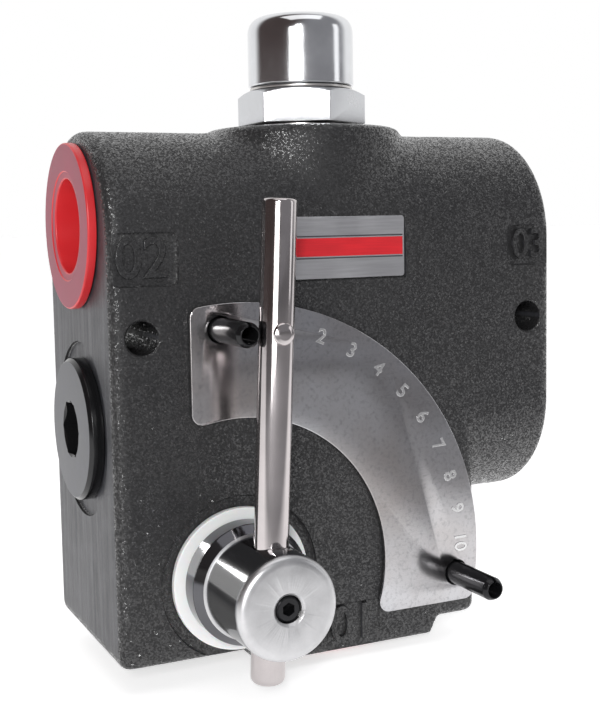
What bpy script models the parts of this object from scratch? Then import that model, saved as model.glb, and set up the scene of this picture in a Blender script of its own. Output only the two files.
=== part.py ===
"""Pressure-compensated rotary flow control valve with an adjustable relief cartridge.

Units are metres and +Z is up.  Every position below is measured from the casting's front lower left corner:
X runs right along the front face, Y runs back through the body, Z runs up.  The DATUM empty carries the whole
valve, so that the finished part has its origin on the rear mounting face, midway between the two bolt holes.
"""
import math

import bmesh
import bpy
from mathutils import Matrix, Vector

MM = 0.001
GAP = 0.3 * MM               # clearance left between touching pieces
EPS = 1.0 * MM               # how far a cutter runs past the face it opens

# Casting
BODY_DEPTH = 60.5 * MM
BODY_WIDTH = 132.3 * MM
BODY_TOP = 137.8 * MM
MID_Y = BODY_DEPTH / 2
CROWN_Z = BODY_TOP - MID_Y   # axis of the half-round top
BLOCK_RIGHT = 106.0 * MM     # right end of the lower block
LOBE_LOW_Z = 60.6 * MM       # axis of the right lobe's half-round underside
INLET_X = BODY_WIDTH / 2
INLET_BOSS = (38.0 * MM, 93.0 * MM)
INLET_BOSS_DROP = 4.1 * MM
CAST_ROUND = 2.5 * MM

# Bolt holes through the body, front to back
BOLT_Z = 84.8 * MM
BOLT_X = (8.05 * MM, 124.25 * MM)
BOLT_R = 4.35 * MM

# Ports and their shipping plugs
PORT_Z = 112.9 * MM
PORT_R = 13.7 * MM
PORT_DEPTH = 20.0 * MM
GALLERY_R = 7.0 * MM
PLUG_FLANGE_R = 21.9 * MM
PLUG_FLANGE = 2.4 * MM
PLUG_WALL = 1.0 * MM
PLUG_LENGTH = 15.0 * MM

# Compensator: spool and spring in a bore along X, closed by a plug at each end
COMP_Z = 58.6 * MM
COMP_R = 11.0 * MM
COMP_THREAD_R = 13.3 * MM
COMP_THREAD_DEPTH = 14.5 * MM
COMP_SEAT_R = 16.5 * MM
COMP_SEAT_DEPTH = 3.6 * MM
COMP_SPOT_R = 20.6 * MM
SPOT_DEPTH = 0.4 * MM
COMP_PLUG_R = 19.1 * MM
COMP_PLUG_HEAD = 3.2 * MM
COMP_SOCKET_AF = 14.0 * MM

# Relief cartridge on top, axis along Z
RELIEF_X = 67.2 * MM
RELIEF_BOSS_R = 28.5 * MM
RELIEF_BOSS_TOP = 139.2 * MM
RELIEF_R = 11.0 * MM
RELIEF_SEAT_Z = 98.0 * MM
RELIEF_CHAMBER_Z = 104.0 * MM
RELIEF_HEX_AF = 31.6 * MM
RELIEF_HEX_TOP = 149.9 * MM
RELIEF_NECK_R = 11.2 * MM
RELIEF_NECK_TOP = 154.5 * MM
CAP_R = 15.0 * MM
CAP_TOP = 171.0 * MM
CAP_CAVITY_R = 11.5 * MM

# Rotary metering spool, hub and lever, axis along Y
HUB_X = 32.94 * MM
HUB_Z = 20.46 * MM
SPOOL_BORE_R = 11.0 * MM
SPOOL_BORE_DEPTH = 50.0 * MM
HUB_SPOT_R = 22.0 * MM
HUB_SPOT_DEPTH = 1.2 * MM
RETAINER_R = 13.3 * MM
RETAINER_DEPTH = 3.6 * MM
WASHER_R = 18.9 * MM
HUB_BASE_R = 16.0 * MM
HUB_FLANGE = 7.0 * MM        # how far forward the hub's base flange reaches
HUB_R = 13.25 * MM
HUB_FRONT = -30.3 * MM
SHAFT_R = 7.0 * MM
SHAFT_FRONT = -25.4 * MM
ROD_R = 4.4 * MM
ROD_Y = -18.5 * MM
ROD_UP = 98.5 * MM           # from the hub axis to the lever's upper end
ROD_DOWN = 21.8 * MM
ROD_LEAN = math.radians(2.8)
SET_SCREW_R = 3.4 * MM

# Dial plate and the two stop pins, all about the hub axis
DIAL_OUTER_R = 72.4 * MM
DIAL_INNER_R = 42.4 * MM
DIAL_LEFT_X = 20.0 * MM
DIAL_LOW_Z = 4.9 * MM
DIAL_THICK = 1.2 * MM
DIAL_CORNER = 3.0 * MM
STOP_R = 3.2 * MM
STOP_CIRCLE = 65.8 * MM
STOP_FRONT = -20.8 * MM
STOP_DEPTH = 8.0 * MM
STOP_REACH = math.asin((ROD_R + STOP_R + GAP) / STOP_CIRCLE)
STOP_CLOSED = ROD_LEAN - STOP_REACH      # clockwise from straight up
STOP_OPEN = math.radians(96.4)

# Name plate and the cast pockets beside the ports
NAMEPLATE_X = (44.0 * MM, 83.2 * MM)
NAMEPLATE_Z = (97.9 * MM, 114.3 * MM)
POCKET_DEPTH = 0.8 * MM
LABEL_POCKETS = {
    "label_pocket_left": ((-EPS, 17.8 * MM), (97.8 * MM, 111.0 * MM)),
    "label_pocket_right": ((117.2 * MM, BODY_WIDTH + EPS), (99.7 * MM, 111.0 * MM)),
    "label_pocket_inlet": ((58.0 * MM, 74.0 * MM), (-INLET_BOSS_DROP - EPS, 8.7 * MM)),
}

TURN = {
    "+X": (0.0, math.pi / 2, 0.0),
    "-X": (0.0, -math.pi / 2, 0.0),
    "+Y": (-math.pi / 2, 0.0, 0.0),
    "-Y": (math.pi / 2, 0.0, 0.0),
    "+Z": (0.0, 0.0, 0.0),
    "-Z": (math.pi, 0.0, 0.0),
}


# ---------------------------------------------------------------- scene helpers
def clear_scene():
    for obj in list(bpy.data.objects):
        bpy.data.objects.remove(obj)


def new_collection(name):
    collection = bpy.data.collections.new(name)
    bpy.context.scene.collection.children.link(collection)
    return collection


def material(name, color, roughness, metallic):
    mat = bpy.data.materials.new(name)
    mat.use_nodes = True
    shader = mat.node_tree.nodes["Principled BSDF"]
    shader.inputs["Base Color"].default_value = (*color, 1.0)
    shader.inputs["Roughness"].default_value = roughness
    shader.inputs["Metallic"].default_value = metallic
    return mat


def finish_part(obj, mat, parent=None):
    """Link a modelled piece into the valve, under the datum unless a joint's empty is given."""
    obj.data.materials.append(mat)
    PARTS.objects.link(obj)
    obj.parent = parent or DATUM
    return obj


def as_cutter(obj):
    obj.hide_render = True
    obj.display_type = "WIRE"
    CUTTERS.objects.link(obj)
    if obj.parent is None:
        obj.parent = DATUM
    return obj


def boolean(target, tool, operation="DIFFERENCE"):
    mod = target.modifiers.new(tool.name, "BOOLEAN")
    mod.operation = operation
    mod.solver = "EXACT"
    mod.object = tool
    return mod


def mesh_object(name, bm, location=(0, 0, 0), rotation=(0, 0, 0)):
    bmesh.ops.recalc_face_normals(bm, faces=bm.faces)
    mesh = bpy.data.meshes.new(name)
    bm.to_mesh(mesh)
    bm.free()
    obj = bpy.data.objects.new(name, mesh)
    obj.location = location
    obj.rotation_euler = rotation
    return obj


def box(name, low, high):
    low, high = Vector(low), Vector(high)
    bm = bmesh.new()
    bmesh.ops.create_cube(bm, size=1.0)
    size = high - low
    bmesh.ops.scale(bm, vec=size, verts=bm.verts)
    return mesh_object(name, bm, (low + high) / 2)


def hex_prism(name, across_flats, length, location, axis, corner_turn=0.0):
    """Six-sided bar that runs from location along axis; corner_turn spins it about that axis."""
    bm = bmesh.new()
    radius = across_flats / math.sqrt(3)
    bmesh.ops.create_cone(bm, cap_ends=True, segments=6, radius1=radius, radius2=radius, depth=length)
    bmesh.ops.translate(bm, vec=(0, 0, length / 2), verts=bm.verts)
    bmesh.ops.transform(bm, matrix=Matrix.Rotation(corner_turn, 4, "Z"), verts=bm.verts)
    return mesh_object(name, bm, location, TURN[axis])


def turned(name, profile, location, axis, steps=28, closed=False):
    """Turned piece: profile points are (radius, station), running down the outer side.

    An open profile starts and ends on the axis; a closed one makes a ring.
    """
    mesh = bpy.data.meshes.new(name)
    points = [(radius, 0.0, station) for radius, station in profile]
    edges = [(i, i + 1) for i in range(len(points) - 1)]
    if closed:
        edges.append((len(points) - 1, 0))
    mesh.from_pydata(points, edges, [])
    obj = bpy.data.objects.new(name, mesh)
    obj.location = location
    obj.rotation_euler = TURN[axis]
    screw = obj.modifiers.new("Turn", "SCREW")
    screw.axis = "Z"
    screw.steps = steps
    screw.render_steps = steps
    screw.use_merge_vertices = True
    screw.merge_threshold = 0.00001
    screw.use_smooth_shade = True
    return obj


def ring(name, outer, inner, low, high, location, axis, steps=32):
    profile = [(outer, high), (outer, low), (inner, low), (inner, high)]
    return turned(name, profile, location, axis, steps, closed=True)


def seal_ring(name, major, minor, station, location, axis):
    """O-ring whose centre circle lies at station along axis."""
    sides = 6
    profile = []
    for i in range(sides):
        angle = -2 * math.pi * (i + 0.5) / sides
        profile.append((major + minor * math.cos(angle), station + minor * math.sin(angle)))
    return turned(name, profile, location, axis, steps=24, closed=True)


def arc(centre, radius, start, end, count):
    """Points along an arc in a plane, both ends included; angles in radians."""
    cx, cy = centre
    points = []
    for i in range(count + 1):
        angle = start + (end - start) * i / count
        points.append((cx + radius * math.cos(angle), cy + radius * math.sin(angle)))
    return points


def flat_curve(name, outlines, thickness, location, rotation):
    """Flat piece from closed outlines; any outline inside the first one is a hole."""
    curve = bpy.data.curves.new(name, "CURVE")
    curve.dimensions = "2D"
    curve.fill_mode = "BOTH"
    curve.extrude = thickness / 2
    for outline in outlines:
        spline = curve.splines.new("POLY")
        spline.points.add(len(outline) - 1)
        for point, (x, y) in zip(spline.points, outline):
            point.co = (x, y, 0.0, 1.0)
        spline.use_cyclic_u = True
    obj = bpy.data.objects.new(name, curve)
    obj.location = location
    obj.rotation_euler = rotation
    return obj


def curve_to_mesh(curve_object):
    """Closed mesh object with a curve's evaluated shape; the curve itself is removed."""
    bpy.context.scene.collection.objects.link(curve_object)
    bpy.context.view_layer.update()
    depsgraph = bpy.context.evaluated_depsgraph_get()
    mesh = bpy.data.meshes.new_from_object(curve_object.evaluated_get(depsgraph))
    bm = bmesh.new()
    bm.from_mesh(mesh)
    bmesh.ops.remove_doubles(bm, verts=bm.verts, dist=0.000001)
    bmesh.ops.recalc_face_normals(bm, faces=bm.faces)
    bm.to_mesh(mesh)
    bm.free()
    name = curve_object.name
    matrix = curve_object.matrix_world.copy()
    bpy.data.objects.remove(curve_object)
    obj = bpy.data.objects.new(name, mesh)
    obj.matrix_world = matrix
    return obj


def extruded_along_x(name, outline, low_x, high_x):
    """Bar with a (Y, Z) outline between two X stations."""
    turn = (math.pi / 2, 0.0, math.pi / 2)
    curve = flat_curve(name, [outline], high_x - low_x, ((low_x + high_x) / 2, 0, 0), turn)
    return curve_to_mesh(curve)


def extruded_along_y(name, outline, low_y, high_y):
    """Bar with an (X, Z) outline between two Y stations."""
    curve = flat_curve(name, [outline], high_y - low_y, (0, (low_y + high_y) / 2, 0), (math.pi / 2, 0, 0))
    return curve_to_mesh(curve)


def round_edges(obj, width, segments=1):
    bevel = obj.modifiers.new("Round", "BEVEL")
    bevel.width = width
    bevel.segments = segments
    bevel.limit_method = "ANGLE"
    bevel.angle_limit = math.radians(50)


def coil_spring(name, radius, wire_r, length, turns, location, axis):
    """Round-wire compression spring that starts at location and runs along axis."""
    per_turn = 9
    count = int(turns * per_turn)
    curve = bpy.data.curves.new(name, "CURVE")
    curve.dimensions = "3D"
    curve.bevel_depth = wire_r
    curve.bevel_resolution = 1
    curve.use_fill_caps = True
    spline = curve.splines.new("POLY")
    spline.points.add(count)
    travel = length - 2 * wire_r
    for i, point in enumerate(spline.points):
        angle = 2 * math.pi * i / per_turn
        station = wire_r + travel * i / count
        point.co = (radius * math.cos(angle), radius * math.sin(angle), station, 1.0)
    obj = bpy.data.objects.new(name, curve)
    obj.location = location
    obj.rotation_euler = TURN[axis]
    return obj


def on_dial(radius, clockwise):
    """(X, Z) at a radius from the hub axis and an angle clockwise from straight up."""
    return HUB_X + radius * math.sin(clockwise), HUB_Z + radius * math.cos(clockwise)


# ---------------------------------------------------------------- casting
def make_body(mat):
    block_outline = [(0, 0), (BODY_DEPTH, 0)] + arc((MID_Y, CROWN_Z), MID_Y, 0, math.pi, 18)
    body = extruded_along_x("valve_body", block_outline, 0, BLOCK_RIGHT)
    round_edges(body, CAST_ROUND)

    lobe_outline = arc((MID_Y, CROWN_Z), MID_Y, 0, math.pi, 18)
    lobe_outline += arc((MID_Y, LOBE_LOW_Z), MID_Y, math.pi, 2 * math.pi, 18)
    lobe = extruded_along_x("right_lobe", lobe_outline, BLOCK_RIGHT - 12 * MM, BODY_WIDTH)
    round_edges(lobe, CAST_ROUND)

    boss_round = 3 * MM
    boss_top = arc((RELIEF_BOSS_R - boss_round, RELIEF_BOSS_TOP - boss_round), boss_round, math.pi / 2, 0, 3)
    relief_boss = turned("relief_boss", [(0, RELIEF_BOSS_TOP)] + boss_top
                         + [(RELIEF_BOSS_R, 90 * MM), (0, 90 * MM)], (RELIEF_X, MID_Y, 0), "+Z", 40)

    left, right = INLET_BOSS
    low = -INLET_BOSS_DROP
    fillet = 3.6 * MM
    boss_outline = [(left, 6 * MM), (left, low + 1 * MM), (left + 1 * MM, low), (right - 2 * MM, low)]
    boss_outline += arc((right + fillet, low + fillet), fillet, math.pi, math.pi / 2, 4)[1:]
    boss_outline += [(right + fillet, 6 * MM)]
    inlet_boss = extruded_along_y("inlet_boss", boss_outline, 0.6 * MM, BODY_DEPTH - 0.6 * MM)

    for piece in (lobe, relief_boss, inlet_boss):
        boolean(body, as_cutter(piece), "UNION")
    for tool in body_cutters():
        boolean(body, as_cutter(tool))
    return finish_part(body, mat)


def port_profile(gallery_r, gallery_end):
    """Threaded port mouth with a lead-in chamfer, then its gallery; stations run into the body."""
    chamfer = 1.0 * MM
    return [(0, gallery_end), (gallery_r, gallery_end), (gallery_r, PORT_DEPTH), (PORT_R, PORT_DEPTH),
            (PORT_R, chamfer), (PORT_R + chamfer, 0), (PORT_R + chamfer, -EPS), (0, -EPS)]


def drilled(name, radius, start, end, steps=16):
    """Straight round cutter between two points on one axis."""
    start, end = Vector(start), Vector(end)
    length = (end - start).length
    axis = "+" + "XYZ"[[abs(c) > 1e-9 for c in end - start].index(True)]
    profile = [(0, length), (radius, length), (radius, 0), (0, 0)]
    return turned(name, profile, start, axis, steps)


def body_cutters():
    width = BODY_WIDTH
    thread_end = width - COMP_THREAD_DEPTH
    seat_end = width - COMP_SEAT_DEPTH
    spot_end = width - SPOT_DEPTH
    comp = [(0, width + EPS), (COMP_SPOT_R, width + EPS), (COMP_SPOT_R, spot_end), (COMP_SEAT_R, spot_end),
            (COMP_SEAT_R, seat_end), (COMP_THREAD_R, seat_end), (COMP_THREAD_R, thread_end),
            (COMP_R, thread_end), (COMP_R, COMP_THREAD_DEPTH), (COMP_THREAD_R, COMP_THREAD_DEPTH),
            (COMP_THREAD_R, COMP_SEAT_DEPTH), (COMP_SEAT_R, COMP_SEAT_DEPTH), (COMP_SEAT_R, SPOT_DEPTH),
            (COMP_SPOT_R, SPOT_DEPTH), (COMP_SPOT_R, -EPS), (0, -EPS)]
    rotary = [(0, SPOOL_BORE_DEPTH), (SPOOL_BORE_R, SPOOL_BORE_DEPTH), (SPOOL_BORE_R, RETAINER_DEPTH),
              (RETAINER_R, RETAINER_DEPTH), (RETAINER_R, HUB_SPOT_DEPTH), (HUB_SPOT_R, HUB_SPOT_DEPTH),
              (HUB_SPOT_R, -EPS), (0, -EPS)]
    relief = [(0, RELIEF_BOSS_TOP + EPS), (RELIEF_R, RELIEF_BOSS_TOP + EPS), (RELIEF_R, RELIEF_CHAMBER_Z),
              (8.0 * MM, RELIEF_CHAMBER_Z), (8.0 * MM, RELIEF_SEAT_Z), (5.0 * MM, RELIEF_SEAT_Z),
              (5.0 * MM, COMP_Z), (0, COMP_Z)]
    excess_x = 100.0 * MM

    yield turned("port_cut_left", port_profile(7.5 * MM, 42 * MM), (0, MID_Y, PORT_Z), "+X")
    yield turned("port_cut_right", port_profile(GALLERY_R, width - RELIEF_X), (width, MID_Y, PORT_Z), "-X")
    yield turned("port_cut_inlet", port_profile(GALLERY_R, 54 * MM), (INLET_X, MID_Y, -INLET_BOSS_DROP), "+Z")
    yield turned("compensator_cut", comp, (0, MID_Y, COMP_Z), "+X")
    yield turned("rotary_cut", rotary, (HUB_X, 0, HUB_Z), "+Y", 36)
    yield turned("relief_cut", relief, (RELIEF_X, MID_Y, 0), "+Z")
    yield drilled("feed_gallery", 5 * MM, (HUB_X + 5 * MM, MID_Y, HUB_Z), (INLET_X, MID_Y, HUB_Z))
    yield drilled("metered_gallery", 6 * MM, (HUB_X, MID_Y, HUB_Z + 5 * MM), (HUB_X, MID_Y, PORT_Z))
    yield drilled("excess_gallery", GALLERY_R, (excess_x, MID_Y, COMP_Z), (excess_x, MID_Y, PORT_Z))
    for side, x in zip(("left", "right"), BOLT_X):
        yield drilled("bolt_cut_" + side, BOLT_R, (x, -EPS, BOLT_Z), (x, BODY_DEPTH + EPS, BOLT_Z), 20)
    for name, angle in (("closed", STOP_CLOSED), ("open", STOP_OPEN)):
        x, z = on_dial(STOP_CIRCLE, angle)
        yield drilled("stop_cut_" + name, STOP_R + GAP, (x, -EPS, z), (x, STOP_DEPTH, z))
    margin = 0.5 * MM
    low = (NAMEPLATE_X[0] - margin, -EPS, NAMEPLATE_Z[0] - margin)
    high = (NAMEPLATE_X[1] + margin, POCKET_DEPTH, NAMEPLATE_Z[1] + margin)
    yield box("nameplate_pocket", low, high)
    for name, ((x0, x1), (z0, z1)) in LABEL_POCKETS.items():
        yield box(name, (x0, -EPS, z0), (x1, POCKET_DEPTH, z1))


# ---------------------------------------------------------------- ports and compensator
def make_port_plug(name, location, axis, mat):
    """Plastic shipping plug: thin flange outside, blind cup inside the port; stations run inward."""
    outer = PORT_R - GAP
    inner = outer - PLUG_WALL
    lip = 0.7 * MM
    face = -GAP - PLUG_FLANGE
    end = PLUG_LENGTH
    profile = [(0, end), (outer, end), (outer, -GAP), (PLUG_FLANGE_R, -GAP), (PLUG_FLANGE_R, face + lip),
               (PLUG_FLANGE_R - lip, face), (inner, face), (inner, end - PLUG_WALL), (0, end - PLUG_WALL)]
    return finish_part(turned(name, profile, location, axis, 36), mat)


def make_compensator(steel, black, rubber):
    width = BODY_WIDTH
    stem_r = COMP_THREAD_R - GAP
    base = SPOT_DEPTH - GAP
    face = base - COMP_PLUG_HEAD
    edge = 1.2 * MM
    for side, x, axis in (("left", 0, "+X"), ("right", width, "-X")):
        profile = [(0, COMP_THREAD_DEPTH - 2 * MM), (stem_r, COMP_THREAD_DEPTH - 2 * MM), (stem_r, base),
                   (COMP_PLUG_R, base), (COMP_PLUG_R, face + edge), (COMP_PLUG_R - edge, face), (0, face)]
        plug = turned("compensator_plug_" + side, profile, (x, MID_Y, COMP_Z), axis, 36)
        depth = 8 * MM
        start = x + (face - EPS) * (1 if axis == "+X" else -1)
        socket = hex_prism("socket_cut_" + side, COMP_SOCKET_AF, depth + EPS, (start, MID_Y, COMP_Z), axis)
        boolean(plug, as_cutter(socket))
        finish_part(plug, black)
        seal = seal_ring("compensator_seal_" + side, 14.7 * MM, 1.3 * MM, 2.0 * MM, (x, MID_Y, COMP_Z), axis)
        finish_part(seal, rubber)

    land = COMP_R - GAP
    waist = 6.5 * MM
    start, end = COMP_THREAD_DEPTH + 3.5 * MM, 92 * MM
    spool = [(0, end), (5.0 * MM, end), (5.0 * MM, end - 4 * MM), (land, end - 4 * MM), (land, 76 * MM),
             (waist, 74 * MM), (waist, 48 * MM), (land, 46 * MM), (land, 42 * MM), (waist, 40 * MM),
             (waist, 26 * MM), (land, 24 * MM), (land, start), (0, start)]
    finish_part(turned("compensator_spool", spool, (0, MID_Y, COMP_Z), "+X", 24), steel)
    spring_start = end - 4 * MM + GAP
    spring_end = width - COMP_THREAD_DEPTH + 2 * MM - GAP
    spring = coil_spring("compensator_spring", 7.4 * MM, 1.0 * MM, spring_end - spring_start, 6.5,
                         (spring_start, MID_Y, COMP_Z), "+X")
    finish_part(spring, steel)


# ---------------------------------------------------------------- relief cartridge
def make_relief(zinc, steel, brass, rubber):
    axis = (RELIEF_X, MID_Y, 0)
    washer_low = RELIEF_BOSS_TOP + GAP
    washer_high = washer_low + 0.8 * MM
    hex_low = washer_high + GAP
    finish_part(ring("relief_washer", 14.6 * MM, RELIEF_R + 0.5 * MM, washer_low, washer_high, axis, "+Z"), brass)

    stem_low = 122 * MM
    stem_r = RELIEF_R - GAP
    groove = 1.6 * MM
    bore = 6.5 * MM
    thread = 4.3 * MM
    bore_top = 143 * MM
    profile = [(RELIEF_NECK_R, RELIEF_NECK_TOP), (RELIEF_NECK_R, RELIEF_HEX_TOP),
               (CAP_R + 0.5 * MM, RELIEF_HEX_TOP), (CAP_R + 3.3 * MM, RELIEF_HEX_TOP - 1.2 * MM),
               (CAP_R + 3.3 * MM, hex_low + 1.0 * MM), (CAP_R + 0.8 * MM, hex_low), (stem_r, hex_low),
               (stem_r, 131 * MM), (stem_r - groove, 131 * MM), (stem_r - groove, 128 * MM),
               (stem_r, 128 * MM), (stem_r, stem_low), (bore, stem_low), (bore, bore_top),
               (thread, bore_top), (thread, RELIEF_NECK_TOP)]
    cartridge = turned("relief_cartridge", profile, axis, "+Z", 24, closed=True)
    trim_low = (RELIEF_X, MID_Y, hex_low - GAP / 2)
    flats = hex_prism("hex_flats", RELIEF_HEX_AF, RELIEF_HEX_TOP - hex_low + GAP / 2 + 0.4 * MM, trim_low, "+Z",
                      math.pi / 6)
    keep = ring("hex_flats_stock", 30 * MM, 10 * MM, hex_low - 1 * MM, RELIEF_HEX_TOP + 1 * MM, axis, "+Z", 24)
    boolean(keep, as_cutter(flats))
    boolean(cartridge, as_cutter(keep))
    finish_part(cartridge, zinc)
    finish_part(seal_ring("relief_seal", 9.9 * MM, 0.7 * MM, 129.5 * MM, axis, "+Z"), rubber)

    seat_top = RELIEF_CHAMBER_Z - GAP
    seat = [(7.7 * MM, seat_top), (7.7 * MM, RELIEF_SEAT_Z + GAP), (3.4 * MM, RELIEF_SEAT_Z + GAP),
            (3.4 * MM, seat_top - 2.5 * MM), (5.6 * MM, seat_top)]
    finish_part(turned("relief_seat", seat, axis, "+Z", 24, closed=True), steel)
    poppet = [(0, 116 * MM), (3.0 * MM, 116 * MM), (3.0 * MM, 112 * MM), (5.5 * MM, 112 * MM),
              (5.5 * MM, seat_top + 0.8 * MM), (1.8 * MM, seat_top - 3.4 * MM), (0, seat_top - 3.4 * MM)]
    finish_part(turned("relief_poppet", poppet, axis, "+Z", 24), steel)
    spring_low, spring_high = 112 * MM + GAP, 136 * MM - GAP
    spring = coil_spring("relief_spring", 4.6 * MM, 0.75 * MM, spring_high - spring_low, 7.5,
                         (RELIEF_X, MID_Y, spring_low), "+Z")
    finish_part(spring, steel)
    guide = [(0, 139 * MM), (5.8 * MM, 139 * MM), (5.8 * MM, 136 * MM), (3.2 * MM, 136 * MM),
             (3.2 * MM, 132 * MM), (0, 132 * MM)]
    finish_part(turned("spring_guide", guide, axis, "+Z", 24), steel)

    screw_top = 162 * MM
    screw_low = 139 * MM + GAP
    profile = [(0, screw_top), (3.2 * MM, screw_top), (4.0 * MM, screw_top - 0.8 * MM),
               (4.0 * MM, screw_low + 1 * MM), (3.0 * MM, screw_low), (0, screw_low)]
    screw = turned("adjusting_screw", profile, axis, "+Z", 24)
    slot_half = 0.7 * MM
    slot = box("screw_slot", (RELIEF_X - slot_half, MID_Y - 6 * MM, screw_top - 2.2 * MM),
               (RELIEF_X + slot_half, MID_Y + 6 * MM, screw_top + EPS))
    boolean(screw, as_cutter(slot))
    finish_part(screw, steel)
    nut_low = RELIEF_NECK_TOP + GAP
    nut = hex_prism("lock_nut", 13 * MM, 4.0 * MM, (RELIEF_X, MID_Y, nut_low), "+Z")
    boolean(nut, as_cutter(drilled("lock_nut_bore", thread, (RELIEF_X, MID_Y, nut_low - EPS),
                                   (RELIEF_X, MID_Y, nut_low + 6 * MM), 20)))
    finish_part(nut, zinc)

    gasket_low = RELIEF_HEX_TOP + GAP
    gasket_high = gasket_low + 0.7 * MM
    finish_part(ring("cap_gasket", CAP_R - 0.4 * MM, CAP_CAVITY_R, gasket_low, gasket_high, axis, "+Z"), brass)
    crown = 5.0 * MM
    lip = 0.6 * MM
    cap_low = gasket_high + GAP
    cap = [(0, CAP_TOP)] + arc((CAP_R - crown, CAP_TOP - crown), crown, math.pi / 2, 0, 4)
    cap += [(CAP_R, cap_low + lip), (CAP_R - lip, cap_low), (CAP_CAVITY_R, cap_low),
            (CAP_CAVITY_R, CAP_TOP - 5.5 * MM), (CAP_CAVITY_R - 2 * MM, CAP_TOP - 3.5 * MM), (0, CAP_TOP - 3.5 * MM)]
    finish_part(turned("relief_cap", cap, axis, "+Z", 36), zinc)


# ---------------------------------------------------------------- rotary spool, hub and lever
def make_rotary(steel, zinc, chrome, rubber, dark, lever):
    """Pieces on the hub axis; lever is the empty on that axis which carries everything that turns."""
    origin = (0, 0, 0)
    land = SPOOL_BORE_R - GAP
    waist = 8.9 * MM
    rear = SPOOL_BORE_DEPTH - 1.5 * MM
    front = RETAINER_DEPTH + GAP
    stations = [(0, rear), (land, rear), (land, 45 * MM), (waist, 45 * MM), (waist, 42 * MM), (land, 42 * MM),
                (land, 11 * MM), (waist, 11 * MM), (waist, 8 * MM), (land, 8 * MM), (land, front),
                (SHAFT_R, front), (SHAFT_R, SHAFT_FRONT), (0, SHAFT_FRONT)]
    spool = turned("rotary_spool", stations, origin, "+Y", 28)
    spool.parent = lever
    depth_max = 4.2 * MM
    groove = turned("metering_groove", [(14 * MM, 35 * MM), (14 * MM, 25 * MM), (8.6 * MM, 25 * MM),
                                        (8.6 * MM, 35 * MM)], (depth_max / 2, 0, 0), "+Y", 28, closed=True)
    rod_hole = turned("rod_hole", [(0, 30 * MM), (ROD_R + GAP, 30 * MM), (ROD_R + GAP, -30 * MM), (0, -30 * MM)],
                      (0, ROD_Y, 0), "+Z", 24)
    screw_hole = drilled("set_screw_hole", SET_SCREW_R + GAP, (0, HUB_FRONT - EPS, 0), (0, ROD_Y, 0), 16)
    for tool in (groove, rod_hole, screw_hole):
        tool.parent = lever
        boolean(spool, as_cutter(tool))
    finish_part(spool, steel, lever)
    for name, station in (("front", 9.5 * MM), ("rear", 43.5 * MM)):
        seal = seal_ring("spool_seal_" + name, 9.95 * MM, 0.7 * MM, station, origin, "+Y")
        finish_part(seal, rubber, lever)

    socket_end = 26 * MM
    rim = 2.0 * MM
    top = -HUB_FRONT
    hub_profile = [(0, top)] + arc((HUB_R - rim, top - rim), rim, math.pi / 2, 0, 4)
    base = 1.0 * MM + GAP
    hub_profile += [(HUB_R, HUB_FLANGE + 2.2 * MM), (HUB_BASE_R, HUB_FLANGE), (HUB_BASE_R, base),
                    (SHAFT_R + GAP, base), (SHAFT_R + GAP, socket_end), (0, socket_end)]
    hub = turned("handle_hub", hub_profile, origin, "-Y", 36)
    for tool in (rod_hole, screw_hole):
        boolean(hub, tool)
    finish_part(hub, steel, lever)

    screw_in = -(ROD_Y - ROD_R - GAP)
    screw_out = top - 0.6 * MM
    profile = [(0, screw_out), (SET_SCREW_R - 0.4 * MM, screw_out), (SET_SCREW_R, screw_out - 0.4 * MM),
               (SET_SCREW_R, screw_in + 1 * MM), (SET_SCREW_R - 1 * MM, screw_in), (0, screw_in)]
    set_screw = turned("hub_set_screw", profile, origin, "-Y", 20)
    socket = hex_prism("set_screw_socket", 3.0 * MM, 4.0 * MM, (0, -screw_out + 3.0 * MM, 0), "-Y")
    socket.parent = lever
    boolean(set_screw, as_cutter(socket))
    finish_part(set_screw, dark, lever)

    edge = 0.9 * MM
    pin_r = 2.0 * MM
    rod = [(0, ROD_UP), (ROD_R - edge, ROD_UP), (ROD_R, ROD_UP - edge), (ROD_R, edge - ROD_DOWN),
           (ROD_R - edge, -ROD_DOWN), (0, -ROD_DOWN)]
    rod_object = turned("lever_rod", rod, (0, ROD_Y, 0), "+Z", 28)
    pin_hole = drilled("pin_hole", pin_r + GAP, (0, ROD_Y - 6 * MM, STOP_CIRCLE), (0, ROD_Y + 6 * MM, STOP_CIRCLE))
    pin_hole.parent = lever
    boolean(rod_object, as_cutter(pin_hole))
    finish_part(rod_object, chrome, lever)
    head_low = ROD_R + GAP
    head = arc((0, head_low), 2.85 * MM, math.pi / 2, 0, 4)
    head = [(r, head_low + (h - head_low) * 0.4) for r, h in head]
    rivet = head + [(pin_r, head_low), (pin_r, -ROD_R - 1.2 * MM), (0, -ROD_R - 1.2 * MM)]
    finish_part(turned("lever_rivet", rivet, (0, ROD_Y, STOP_CIRCLE), "-Y", 20), zinc, lever)


def make_washers(nylon, steel):
    centre = (HUB_X, 0, HUB_Z)
    washer = [(WASHER_R, HUB_SPOT_DEPTH - GAP), (WASHER_R, -0.6 * MM), (WASHER_R - 0.4 * MM, -1.0 * MM),
              (SHAFT_R + GAP, -1.0 * MM), (SHAFT_R + GAP, HUB_SPOT_DEPTH - GAP)]
    finish_part(turned("thrust_washer", washer, centre, "+Y", 36, closed=True), nylon)
    clip = ring("spool_retaining_ring", RETAINER_R - GAP, 9.0 * MM, HUB_SPOT_DEPTH + GAP, RETAINER_DEPTH - GAP,
                centre, "+Y", 28)
    split = box("clip_split", (HUB_X - 3 * MM, 0, HUB_Z + 5 * MM), (HUB_X + 3 * MM, 6 * MM, HUB_Z + 20 * MM))
    boolean(clip, as_cutter(split))
    finish_part(clip, steel)


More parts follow.
